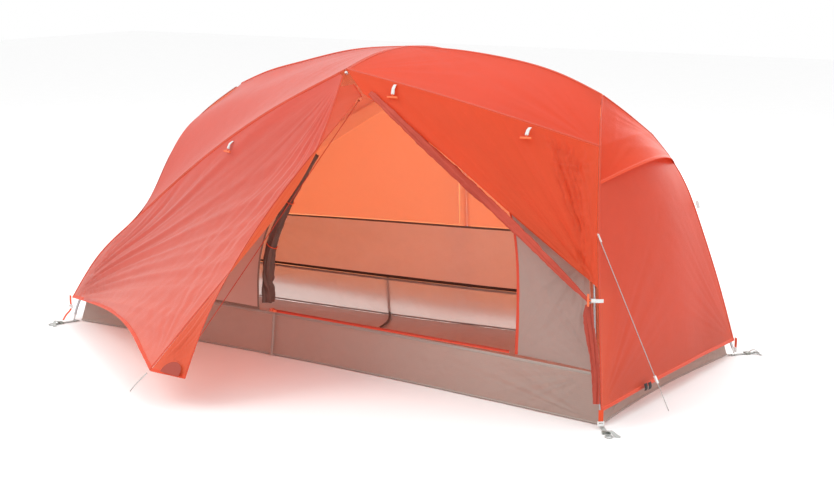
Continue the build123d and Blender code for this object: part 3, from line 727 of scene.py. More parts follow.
class TENT_OT_ends(bpy.types.Operator):
    """Close both ends of the rainfly, with a flared hood over the vent at the head."""

    bl_idname = "tent.ends"
    bl_label = "End panels and vent hood"

    def execute(self, context):
        s = context.scene.tent_sizes
        g = tent_lines()
        lip = g["head_low"](0.17)[0]
        lip_line = rail(lip, (1.062, 0, 0.738), lip * (1, -1, 1))
        end = 0.3 + 0.7 * 0.17
        smooth = fan(g["head_leg"], back_of(g["head_leg"]), s.columns // 2, s.rows // 2, lip_line, end=end)
        u = np.linspace(0, 1, smooth.shape[1])[None]
        v = np.linspace(0, 1, smooth.shape[0])[:, None]
        h = ripple(smooth, 0.2, 8) * 0.002 + folds_from(
            smooth, smooth[-1, 0], (-0.1, 0.6, 0.1), 0.004, 0.3, 8, 4,
        )
        h = h + folds_from(smooth, smooth[-1, -1], (-0.1, -0.6, 0.1), 0.004, 0.3, 8, 5)
        lively = pulled(
            smooth, (1, 0, 1), h * np.sin(math.pi * u) ** 0.5 * np.sin(math.pi * np.minimum(v, 0.9)),
        )
        Kit.edges["hood"] = lively
        cloth("hood", smooth, lively, "fly", FLY, "fly_cloth", "fly_vent_hood")
        stitched_edges("hood", ["left", "right"], (1, 0, 1), s.seam)
        stitched_edges("hood", ["bottom"], (1, 0, 1), s.hem, "hem")

        side = g["head_low"](0.10)[0]
        top = rail(side, side * (1, 0, 1) + (0.034, 0, 0.020), side * (1, -1, 1))
        leg = part_of(g["head_low"], 0.10, 1)
        smooth = patch(top, g["head_hem"], leg, back_of(leg), s.columns, s.rows)
        u = np.linspace(0, 1, smooth.shape[1])[None]
        v = np.linspace(0, 1, smooth.shape[0])[:, None]
        h = ripple(smooth, 0.5, 11) * 0.004 + ripple(smooth, 0.07, 12) * s.crease * 0.5
        for side, seed in ((0, 21), (-1, 22)):
            corner = smooth[-1, side]
            h = h + folds_from(smooth, corner, smooth[0, s.columns // 2] - corner, 0.005, 0.34, 12, seed)
        edge = np.sin(math.pi * u) ** 0.6 * np.minimum(1, 1.4 * np.sin(math.pi * v) + v**6)
        lively = pulled(smooth, (1, 0, 0.2), h * edge + 0.012 * np.sin(math.pi * u) * np.sin(math.pi * v))
        Kit.edges["head_panel"] = lively
        cloth("head_panel", smooth, lively, "fly_head", FLY, "fly_cloth", "fly_head_end")
        stitched_edges("head_panel", ["left", "right"], (1, 0, 0.2), s.seam)
        stitched_edges("head_panel", ["bottom"], (1, 0, 0.2), s.hem, "hem")

        smooth = fan(g["foot_leg"], back_of(g["foot_leg"]), s.columns, s.rows, g["foot_hem"], start=0.03)
        h = ripple(smooth, 0.3, 15) * 0.004 + ripple(smooth, 0.06, 16) * s.crease
        for side, seed in ((0, 31), (-1, 32)):
            corner = smooth[-1, side]
            h = h + folds_from(smooth, corner, smooth[0, s.columns // 2] - corner, 0.007, 0.5, 12, seed)
        u = np.linspace(0, 1, smooth.shape[1])[None]
        v = np.linspace(0, 1, smooth.shape[0])[:, None]
        edge = np.sin(math.pi * u) ** 0.6 * np.minimum(1, 1.4 * np.sin(math.pi * v) + v**6)
        lively = pulled(smooth, (-1, 0, 0.4), h * edge + 0.022 * np.sin(math.pi * u) * np.sin(math.pi * v))
        Kit.edges["foot_panel"] = lively
        cloth("foot_panel", smooth, lively, "fly_far_sheen", FLY, "fly_cloth", "fly_foot_end")
        stitched_edges("foot_panel", ["left", "right"], (-1, 0, 0.4), s.seam)
        stitched_edges("foot_panel", ["bottom"], (-1, 0, 0.4), s.hem, "hem")
        return {"FINISHED"}


class TENT_OT_vestibule(bpy.types.Operator):
    """Pull the vestibule out to its peg, with long folds from the held corners."""

    bl_idname = "tent.vestibule"
    bl_label = "Vestibule"

    def execute(self, context):
        s = context.scene.tent_sizes
        g = tent_lines()
        smooth = fan(g["vest"], g["vest_top"], s.columns, s.rows + 40, g["vest_hem"], start=0.02)
        foot, stake, tip = smooth[-1, -1], smooth[-1, 0], smooth[0, 0]
        u = np.linspace(0, 1, smooth.shape[1])[None]
        v = np.linspace(0, 1, smooth.shape[0])[:, None]
        h = folds_from(smooth, foot, tip - foot, s.fold * 1.5, 1.25, 15, 41, 0.9)
        h = h + folds_from(smooth, foot, tip + (0, -0.4, -0.3) - foot, s.fold * 0.9, 0.9, 26, 42, 0.9)
        h = h + folds_from(smooth, tip, stake - tip, s.fold * 0.6, 0.8, 22, 43, 0.7)
        h = h + folds_from(smooth, stake, tip - stake, s.fold * 0.6, 0.45, 14, 44, 0.9)
        h = h + ripple(smooth, 0.36, 45) * s.fold * 0.5 + ripple(smooth, 0.055, 46) * s.crease
        edge = np.minimum(1, 3.0 * np.sin(math.pi * u) ** 0.8) * np.minimum(1, 6 * v)
        hollow = -0.020 * np.sin(math.pi * u) * np.sin(math.pi * np.clip(v, 0, 1)) ** 0.8
        lively = pulled(smooth, (-0.6, -0.7, 0.4), h * edge + hollow)
        Kit.edges["vestibule"] = lively
        cloth("vestibule", smooth, lively, "fly_far_sheen", FLY, "fly_cloth", "fly_vestibule")
        stitched_edges("vestibule", ["left", "right"], (-0.6, -0.7, 0.4), s.seam)
        stitched_edges("vestibule", ["bottom"], (-0.6, -0.7, 0.4), s.hem, "hem")

        smooth = fan(
            g["vest"], moved(g["zip"], -0.009, 0.007, -0.003), 40, s.rows + 30, g["strip_hem"], start=0.05,
        )
        h = folds_from(
            smooth, smooth[-1, 0], smooth[0, 0] - smooth[-1, 0], 0.004, 0.5, 30, 47,
        ) + ripple(smooth, 0.11, 48) * 0.002
        u = np.linspace(0, 1, smooth.shape[1])[None]
        lively = pulled(smooth, (0.8, -0.5, 0.3), h * np.sin(math.pi * u) ** 0.6)
        Kit.edges["zip_strip"] = lively
        cloth("zip_strip", smooth, lively, "fly_strip", FLY, "fly_cloth", "fly_zip_strip")
        stitched_edges("zip_strip", ["right"], (0.8, -0.5, 0.3), s.seam * 0.7)
        stitched_edges("zip_strip", ["bottom"], (0.8, -0.5, 0.3), s.hem, "hem")
        return {"FINISHED"}


class TENT_OT_door(bpy.types.Operator):
    """The outer door: its taut part, the gathers by the leg, the roll and its hanging tail."""

    bl_idname = "tent.door"
    bl_label = "Rolled door"

    def execute(self, context):
        s = context.scene.tent_sizes
        g = tent_lines()
        leg = part_of(g["head_low"], 0, 0.56)
        low = rail(
            (0.201, -0.379, 0.926), (0.504, -0.392, 0.750), (0.804, -0.400, 0.540), (1.060, -0.428, 0.380),
        )
        left = rail((0.122, -0.363, 1.000), (0.201, -0.379, 0.926))
        whole = patch(g["seam_head"], low, left, leg, s.columns + 40, s.rows)
        u = np.linspace(0, 1, whole.shape[1])[None]
        v = np.linspace(0, 1, whole.shape[0])[:, None]
        start = 0.80 + 0.13 * v**1.3 + 0.010 * hum(v * 7, 50)
        inside = np.clip((u - start) / (1 - start), 0, 1)
        gather = 1 / (1 + np.exp(-(u - start) * 150))
        h = folds_from(whole, whole[-1, -1], whole[0, 60] - whole[-1, -1], 0.005, 0.6, 12, 51)
        h = h + folds_from(whole, whole[-1, -1], whole[0, 20] - whole[-1, -1], 0.003, 1.0, 30, 56, 0.6)
        h = h + ripple(whole, 0.4, 52) * 0.004
        pleats = hum(
            inside * 13 + 2.2 * hum(v * 4, 3), 53, 2,
        ) + 0.35 * hum(inside * 30 + v * 14, 54, 2) + 0.3 * hum(v * 34 + inside * 5, 55, 2)
        h = h + gather * (0.0075 * pleats * (1 - 0.3 * v) - 0.014 * np.sin(math.pi * inside) ** 0.7)
        edge = np.minimum(1, 14 * (1 - u)) * np.minimum(1, 8 * v) * np.minimum(1, 6 * u)
        lively = pulled(whole, (0, -1, 0.3), h * edge - 0.006 * np.sin(math.pi * u) * np.sin(math.pi * v))
        Kit.edges["door"] = lively
        cloth("door", whole, lively, "fly_door", FLY, "fly_cloth", "fly_door_panel")

        line = even_line(
            [
                (0.228, -0.380, 0.930), (0.450, -0.391, 0.776), (0.642, -0.397, 0.640),
                (0.850, -0.411, 0.498), (1.053, -0.444, 0.362),
            ],
            280,
        )

        def rolled(at, a):
            size = 0.0065 + 0.007 * np.sin(math.pi * np.clip(at * 1.05, 0, 1)) ** 0.5
            lobes = (
                1
                + 0.20 * np.sin(3 * a + 3 * at)
                + 0.10 * np.sin(7 * a + 9 * at)
                + 0.05 * np.sin(13 * a - 14 * at)
            )
            knots = 1 + 0.10 * hum(at * 24, 61) + 0.07 * hum(at * 60 + a, 62)
            squeeze = 1 - 0.22 * np.exp(-((at - 0.985) / 0.02) ** 2)
            return size * lobes * knots * squeeze

        p = tube_mesh("door_roll", line, rolled, turns=0.6)
        obj = place(
            "door_roll", grid_mesh("door_roll", p, True, "tube"), "fly_dark", FLY, "fly_dark",
            "fly_door_roll",
        )

        line = even_line(
            [
                (1.052, -0.447, 0.352), (1.064, -0.466, 0.320), (1.088, -0.487, 0.242),
                (1.114, -0.512, 0.160), (1.128, -0.534, 0.080),
            ],
            220,
        )

        def tail(at, a):
            size = 0.012 * (1 - 0.35 * at) * (0.55 + 0.45 * np.clip(at * 9, 0, 1))
            return size * (
                1
                + 0.34 * np.sin(4 * a + 2.2 * at)
                + 0.2 * np.sin(9 * a - 4 * at)
                + 0.07 * hum(at * 30 + a, 64)
            )

        p = tube_mesh("door_tail", line, tail, turns=0.12)
        obj = place(
            "door_tail", grid_mesh("door_tail", p, True, "tube"), "fly_tail", FLY, "fly_dark",
            "fly_door_tail",
        )
        return {"FINISHED"}


def inside_lines():
    """The lines of the inner tent, in metres, a little inside the poles."""
    g = tent_lines()

    def shrunk(line, drop=0.054):
        def at(t):
            p = line(t)
            side = np.minimum(1, np.abs(p[:, 1]) / 0.150) * np.sign(p[:, 1])
            end = np.clip((p[:, 0] - 0.120) / 0.500, -1, 1)
            high = np.clip(p[:, 2] / 0.500 - 0.1, 0, 1)
            return p - np.stack([end * drop * 0.8, side * drop * 0.75, high * drop], -1)

        return at

    k = {name: shrunk(g[name]) for name in ("ridge_head", "ridge_foot", "brow", "seam_head", "seam_foot")}
    z = 0.154
    k["head_a"], k["foot_c"] = np.array([1.087, -0.4553, z]), np.array([-1.087, -0.3186, z])
    head, foot = k["seam_head"](1)[0], k["seam_foot"](1)[0]
    k["head_low"] = rail(head, (0.975, -0.322, 0.540), (1.040, -0.398, 0.330), k["head_a"])
    k["foot_low"] = rail(foot, (-0.956, -0.268, 0.276), k["foot_c"])
    k["head_top"] = rail(k["ridge_head"](1)[0], (0.866, -0.088, 0.808), head)
    k["foot_top"] = rail(k["ridge_foot"](1)[0], (-0.704, -0.104, 0.668), foot)
    k["front_band"] = rail(k["foot_c"], (0, -0.3455, z), k["head_a"])
    k["back_band"] = back_of(k["front_band"])
    mid, last = (0.120, 0.350, 0.382), (1.031, 0.398, 0.402)
    k["band_foot"] = rail((-0.865, 0.212, 0.370), (-0.420, 0.318, 0.370), mid)
    k["band_head"] = rail(mid, (0.620, 0.372, 0.395), last)
    k["band"] = joined(k["band_foot"], k["band_head"], 0.52)
    k["low_head_back"] = rail(last, (1.060, 0.428, 0.260), k["head_a"] * (1, -1, 1))
    k["mid_back"] = rail(k["seam_foot"](0)[0] * (1, -1, 1), (0.120, 0.346, 0.640), mid)
    k["door_head"] = rail(
        k["seam_head"](0.12)[0], (0.430, -0.316, 0.838), (0.632, -0.318, 0.715), (0.730, -0.346, 0.560),
        (0.772, -0.382, 0.390), (0.785, -0.411, z),
    )
    k["door_foot"] = rail(
        k["seam_foot"](0)[0], (-0.030, -0.334, 0.740), (-0.165, -0.342, 0.545), (-0.252, -0.348, 0.345),
        (-0.258, -0.356, z),
    )
    k["band_fh"] = rail((0.785, -0.411, z), (0.940, -0.431, z), k["head_a"])
    k["band_ff"] = rail(k["foot_c"], (-0.640, -0.334, z), (-0.258, -0.356, z))
    k["head_side"] = joined(k["head_top"], k["head_low"], 0.28)
    k["foot_side"] = joined(k["foot_top"], k["foot_low"], 0.66)
    k["head_band"] = rail(k["head_a"], (1.065, 0, z), k["head_a"] * (1, -1, 1))
    k["foot_band"] = rail(k["foot_c"], (-1.065, 0, z), k["foot_c"] * (1, -1, 1))
    return k


def soft(p, out, seed, level, small=0.0012):
    """Slack cloth: broad waves and creases that stop at its edges."""
    nv, nu = p.shape[:2]
    u = np.linspace(0, 1, nu)[None]
    v = np.linspace(0, 1, nv)[:, None]
    edge = (np.sin(math.pi * u) * np.sin(math.pi * v)) ** 0.5
    h = ripple(p * (1, 1, 1.6), 0.22, seed) * level + ripple(p, 0.05, seed + 1) * small
    for corner, other in (
        (p[0, 0], p[-1, -1]), (p[-1, -1], p[0, 0]), (p[-1, 0], p[0, -1]), (p[0, -1], p[-1, 0]),
    ):
        h = h + folds_from(p, corner, other - corner + 1e-4, level * 0.9, 0.35, 9, seed + 2)
    return pulled(p, out, h * edge)


class TENT_OT_canopy(bpy.types.Operator):
    """Sew the inner tent: plain low cloths, sheer high ones, tape along some of the seams."""

    bl_idname = "tent.canopy"
    bl_label = "Inner canopy"

    def execute(self, context):
        s = context.scene.tent_sizes
        k = inside_lines()
        c, r = s.columns, s.rows // 2
        panels = (
            (
                "canopy_back_low",
                patch(k["band"], k["back_band"], back_of(k["foot_low"]), k["low_head_back"], c, r),
                (0, 1, 0), "pale_far", "canopy_cloth", "canopy_back_low",
            ),
            (
                "canopy_back_head",
                patch(
                    back_of(k["seam_head"]), k["band_head"], k["mid_back"],
                    part_of(back_of(k["head_low"]), 0, 0.6), c, r,
                ),
                (0, 1, 0), "sheer", "canopy_mesh", "canopy_back_mesh",
            ),
            (
                "canopy_back_foot",
                fan(part_of(back_of(k["seam_foot"]), 1, 0), k["band_foot"], 60, c, start=0.03), (0, 1, 0),
                "sheer", "canopy_mesh", "canopy_back_mesh",
            ),
            (
                "canopy_head", fan(k["head_side"], back_of(k["head_side"]), c, r, k["head_band"]),
                (1, 0, 0.3), "pale", "canopy_cloth", "canopy_head_end",
            ),
            (
                "canopy_foot", fan(k["foot_side"], back_of(k["foot_side"]), c, r, k["foot_band"]),
                (-1, 0, 0.5), "pale", "canopy_cloth", "canopy_foot_end",
            ),
            (
                "canopy_front_foot",
                patch(part_of(k["seam_foot"], 1, 0), k["band_ff"], k["foot_low"], k["door_foot"], c, r),
                (0, -1, 0), "front_low", "canopy_cloth", "canopy_front_foot",
            ),
            (
                "canopy_front_high",
                patch(
                    part_of(k["seam_head"], 0.12, 1), k["band_fh"], k["door_head"], k["head_low"], c, r,
                    (0, 0.52),
                ),
                (0, -1, 0), "pale_fine", "canopy_mesh", "canopy_front_head_mesh",
            ),
            (
                "canopy_front_low",
                patch(
                    part_of(k["seam_head"], 0.12, 1), k["band_fh"], k["door_head"], k["head_low"], c, r,
                    (0.525, 1),
                ),
                (0, -1, 0), "canopy_shaded", "canopy_cloth", "canopy_front_head_low",
            ),
            (
                "canopy_roof_hf", patch(k["ridge_head"], k["seam_head"], k["brow"], k["head_top"], c, r),
                (0, 0, 1), "sheer", "canopy_mesh", "canopy_roof",
            ),
            (
                "canopy_roof_ff", patch(k["ridge_foot"], k["seam_foot"], k["brow"], k["foot_top"], c, r),
                (0, 0, 1), "sheer", "canopy_mesh", "canopy_roof",
            ),
            (
                "canopy_roof_hb",
                patch(k["ridge_head"], k["seam_head"], k["brow"], k["head_top"], c, r) * (1, -1, 1),
                (0, 0, 1), "sheer", "canopy_mesh", "canopy_roof",
            ),
            (
                "canopy_roof_fb",
                patch(k["ridge_foot"], k["seam_foot"], k["brow"], k["foot_top"], c, r) * (1, -1, 1),
                (0, 0, 1), "sheer", "canopy_mesh", "canopy_roof",
            ),
        )
        for seed, (name, smooth, out, paint, slot, node) in enumerate(panels):
            lively = soft(smooth, out, 70 + seed, 0.006 if paint != "sheer" else 0.003)
            Kit.edges[name] = lively
            cloth(name, smooth, lively, paint, INNER, slot, node)
        into = {
            "canopy_back_low": (0, -1, 0), "canopy_front_low": (0, -1, 0), "canopy_front_high": (0, -1, 0),
            "canopy_roof_hf": (0, 0, 1), "canopy_roof_ff": (0, 0, 1),
        }
        for name, out in into.items():
            stitched_edges(name, ["top"], out, 0.008, "tape", INNER, "canopy_cloth")
        stitched_edges("canopy_back_low", ["bottom"], (0, -1, 0), 0.011, "binding", INNER, "canopy_cloth")
        stitched_edges("canopy_front_foot", ["bottom"], (0, -1, 0), 0.008, "tape", INNER, "canopy_cloth")
        stitched_edges("canopy_front_low", ["left"], (0, -1, 0), 0.011, "zip", INNER, "zip_tape")
        stitched_edges("canopy_front_high", ["left"], (0, -1, 0), 0.011, "zip", INNER, "zip_tape")
        stitched_edges("canopy_front_foot", ["right"], (0, -1, 0), 0.008, "tape", INNER, "canopy_cloth")
        return {"FINISHED"}


class TENT_OT_tub(bpy.types.Operator):
    """The groundsheet and its low walls, slack enough to show waves and seams."""

    bl_idname = "tent.tub"
    bl_label = "Groundsheet and tub"

    def execute(self, context):
        s = context.scene.tent_sizes

        def ring(z, lean):
            x, head, foot = 1.120 - lean, 0.485 - lean * 0.9, 0.345 - lean * 0.8
            mid = 0.370 - lean * 0.5
            a, b = np.array([x, -head, z]), np.array([x, head, z])
            c, d = np.array([-x, -foot, z]), np.array([-x, foot, z])
            return (
                rail(c, (0, -mid, z), a), rail(d, (0, mid, z), b),
                rail(a, (x - 0.022, 0, z), b), rail(c, (0.022 - x, 0, z), d),
            )

        low, high = ring(0.003, 0), ring(0.150, 0.032)
        outs = ((0, -1, 0), (0, 1, 0), (1, 0, 0), (-1, 0, 0))
        for i, name in enumerate(("tub_front", "tub_back", "tub_head", "tub_foot")):
            top, bottom = high[i], low[i]
            side = (rail(top(0)[0], bottom(0)[0]), rail(top(1)[0], bottom(1)[0]))
            smooth = patch(top, bottom, *side, s.columns * 2, 44, inset=0.0005)
            u = np.linspace(0, 1, smooth.shape[1])[None]
            v = np.linspace(0, 1, smooth.shape[0])[:, None]
            h = ripple(smooth * (1, 1, 0.6), 0.30, 90 + i) * 0.006 + ripple(smooth, 0.06, 95 + i) * 0.0012
            for corner, aim in (
                (smooth[-1, 0], smooth[0, -1]), (smooth[-1, -1], smooth[0, 0]),
                (smooth[0, -1], smooth[-1, 0]),
            ):
                h = h + folds_from(smooth, corner, aim - corner, 0.004, 0.5, 16, 96 + i)
            edge = np.minimum(1, 8 * np.sin(math.pi * u)) * np.sin(math.pi * np.clip(v, 0.02, 0.98)) ** 0.5
            lively = pulled(smooth, outs[i], h * edge)
            Kit.edges[name] = lively
            cloth(
                name, smooth, lively, "tub_far_lit" if name == "tub_back" else "tub", INNER, "tub_cloth",
                "tub_walls",
            )
            stitched_edges(name, ["top"], outs[i], 0.009, "tub_tape", INNER, "tub_cloth")
            stitched_edges(name, ["bottom"], outs[i], 0.006, "tub_tape", INNER, "tub_cloth")
        rim = ring(0.0014, 0.006)
        smooth = patch(rim[0], rim[1], rim[3], rim[2], s.columns * 2, s.rows, inset=0.0)
        h = np.abs(ripple(smooth, 0.26, 101)) * 0.004 + np.abs(ripple(smooth, 0.05, 102)) * 0.0012
        lively = pulled(smooth, (0, 0, 1), h)
        cloth("groundsheet", smooth, lively, "floor_in", INNER, "tub_cloth", "tub_floor", held="laid")
        lines = (
            (
                "floor_seam", rail((-0.104, 0.145, 0.008), (-0.13, 0.24, 0.009), (-0.195, 0.352, 0.014)),
                (0.3, 0, 0), (0, 0, 1),
            ),
            ("wall_seam_back", rail((-0.20, 0.347, 0.152), (-0.20, 0.362, 0.010)), (0.3, 0, 0), (0, -1, 0)),
            (
                "wall_seam_front", rail((-0.20, -0.357, 0.148), (-0.20, -0.374, 0.006)), (0.3, 0, 0),
                (0, -1, 0),
            ),
        )
        for name, line, way, out in lines:
            edge = line(np.linspace(0, 1, 60))
            paint = "binding" if "back" in name or "floor" in name else "tub_tape"
            ribbon(name, edge, edge + way, out, 0.010, paint, INNER, "tub_cloth", 0.002)
        return {"FINISHED"}


def teeth(name, a, b, out, pitch, size, paint, body, slot):
    """A zip's coil along a straight run: small rounded bars, left and right in turn."""
    a, b, out = np.array(a, float), np.array(b, float), unit(np.array(out, float))
    along = unit(b - a)
    across = np.cross(along, out)
    n = int(np.linalg.norm(b - a) / pitch)
    ring = [
        (
            math.cos(t) * size[2], math.sin(t) * size[0],
        ) for t in np.linspace(0, 2 * math.pi, 6, endpoint=False)
    ]
    verts, faces = [], []
    for i in range(n):
        middle = a + along * (i + 0.5) * pitch + across * size[1] * (0.32 if i % 2 else -0.32)
        base = len(verts)
        for end in (-0.5, -0.42, 0.42, 0.5):
            grow = 0.55 if abs(end) > 0.45 else 1.0
            for x, y in ring:
                verts.append(middle + across * end * size[1] + (out * x + along * y) * grow)
        for k in range(3):
            for j in range(6):
                faces.append(
                    (
                        base + k * 6 + j, base + k * 6 + (j + 1) % 6, base + k * 6 + 6 + (j + 1) % 6,
                        base + k * 6 + 6 + j,
                    )
                )
        faces.append(tuple(base + j for j in range(6)))
        faces.append(tuple(base + 18 + j for j in reversed(range(6))))
    mesh = bpy.data.meshes.new(name)
    mesh.from_pydata([tuple(v) for v in verts], [], faces)
    mesh.polygons.foreach_set("use_smooth", [True] * len(mesh.polygons))
    return place(name, mesh, paint, body, slot)


def band(name, points, width, across, thick, paint, body, slot, *nodes, count=60):
    """Flat webbing along a smooth line, with soft edges and closed ends."""
    line = even_line(points, count)
    run = unit(np.gradient(line, axis=0))
    side = np.broadcast_to(np.asarray(across, float), line.shape)
    side = unit(side - run * (side * run).sum(-1, keepdims=True))
    up = np.cross(run, side)
    t = np.array([-0.5, -0.47, -0.25, 0, 0.25, 0.47, 0.5, 0.47, 0.25, 0, -0.25, -0.47])
    h = np.array([0, 0.42, 0.5, 0.5, 0.5, 0.42, 0, -0.42, -0.5, -0.5, -0.5, -0.42])
    full = np.ones(count)
    full[[0, -1]] = 0.02
    p = line[:, None] + side[:, None] * (t * width)[None, :, None] + up[:, None] * (
        h[None] * thick * full[:, None]
    )[..., None]
    return place(name, grid_mesh(name, p, True, "strip"), paint, body, slot, *nodes)


def ring_of(name, centre, normal, radius, thick, paint, body, slot, *nodes):
    """A round ring of cord or wire."""
    n = unit(np.asarray(normal, float))
    a = unit(np.cross(n, (0.3, 0.9, 0.2)))
    b = np.cross(n, a)
    big = np.linspace(0, 2 * math.pi, 49)[:, None, None]
    small = np.linspace(0, 2 * math.pi, 12, endpoint=False)[None, :, None]
    spoke = a * np.cos(big) + b * np.sin(big)
    p = np.asarray(centre, float) + spoke * (radius + thick * np.cos(small)) + n * thick * np.sin(small)
    return place(name, grid_mesh(name, p, True, "tube"), paint, body, slot, *nodes)


class TENT_OT_zips(bpy.types.Operator):
    """Sew in both zips: woven tape with a coil down it, and the bunched inner door."""

    bl_idname = "tent.zips"
    bl_label = "Zips and inner door"

    def execute(self, context):
        top, low = np.array([0.199, -0.380, 0.922]), np.array([0.007, -0.976, 0.229])
        run = unit(low - top)
        wide = np.array([0.060, -0.123, -0.047])
        wide = unit(wide - run * (wide @ run))
        out = np.cross(run, wide)
        out = out if out[1] < 0 else -out
        start, end = top + run * 0.004, low + run * 0.004
        middle = [start - wide * 0.0045, (start + end) / 2 - wide * 0.0045, end - wide * 0.0045]
        band("zip_tape_fly", middle, 0.011, wide, 0.0012, "zip", FLY, "zip_tape", "fly_zip_tape", count=90)
        teeth(
            "zip_coil_fly", start - wide * 0.0012 + out * 0.0009, end - wide * 0.0012 + out * 0.0009, out,
            0.0017, (0.00055, 0.0034, 0.0009), "coil", FLY, "zip_tape",
        )
        a, b = np.array([-0.205, -0.368, 0.163]), np.array([0.770, -0.420, 0.163])
        out = np.array([-0.053, -0.998, 0.0])
        band(
            "zip_tape_inner", [a, (a + b) / 2, b], 0.010, (0, 0, 1), 0.0012, "zip", INNER, "zip_tape",
            "inner_zip_tape", count=90,
        )
        lift = np.array([0, 0, 0.0030])
        teeth(
            "zip_coil_inner", a + lift + out * 0.0009, b + lift + out * 0.0009, out, 0.0017,
            (0.00055, 0.0030, 0.0009), "coil", INNER, "zip_tape",
        )

        line = even_line(
            [
                (-0.050, -0.294, 0.700), (-0.175, -0.299, 0.520), (-0.252, -0.303, 0.330),
                (-0.258, -0.307, 0.172),
            ],
            260,
        )

        def bunch(at, angle):
            size = 0.0135 * (0.5 + 0.85 * np.clip(at, 0, 1) ** 0.8)
            return size * (
                1
                + 0.26 * np.sin(4 * angle + 5 * at)
                + 0.14 * np.sin(9 * angle - 7 * at)
                + 0.08 * hum(at * 26 + angle, 71)
                + 0.05 * np.sin(17 * angle + 12 * at)
            )

        p = tube_mesh("door_bunch", line, bunch, turns=0.35)
        obj = place(
            "door_bunch", grid_mesh("door_bunch", p, True, "tube"), "door_mesh", INNER, "door_mesh",
            "inner_door_bundle",
        )
        wrap = line[[int(n) for n in (90, 168)]]
        for i, where in enumerate(wrap):
            ring_of(
                f"door_tie_{i}", where, line[91] - line[90], 0.0175 + 0.002 * i, 0.0016, "trim", INNER,
                "zip_tape",
            )
        return {"FINISHED"}


TOGGLES = {
    "foot": ((-0.374, -0.343, 0.722), (-0.144, -0.373, -0.916), (-0.330, -0.856, 0.400)),
    "mid": ((0.312, -0.364, 0.950), (0, -0.200, -0.980), (0, -0.980, 0.200)),
    "head": ((0.761, -0.292, 0.836), (0.020, -0.560, -0.830), (0, -0.830, 0.560)),
    "low": ((1.090, -0.444, 0.368), (-0.980, -0.200, 0), (-0.200, -0.980, 0)),
}

CORNERS = {
    "head_front": ((1.126, -0.493), (0.62, -0.78), (1.133, -0.514, 0.050)),
    "head_back": ((1.126, 0.493), (0.62, 0.78), (1.133, 0.514, 0.050)),
    "foot_front": ((-1.130, -0.356), (-0.35, -0.94), (-1.146, -0.364, 0.090)),
    "foot_back": ((-1.130, 0.356), (-0.35, 0.94), (-1.146, 0.364, 0.090)),
}


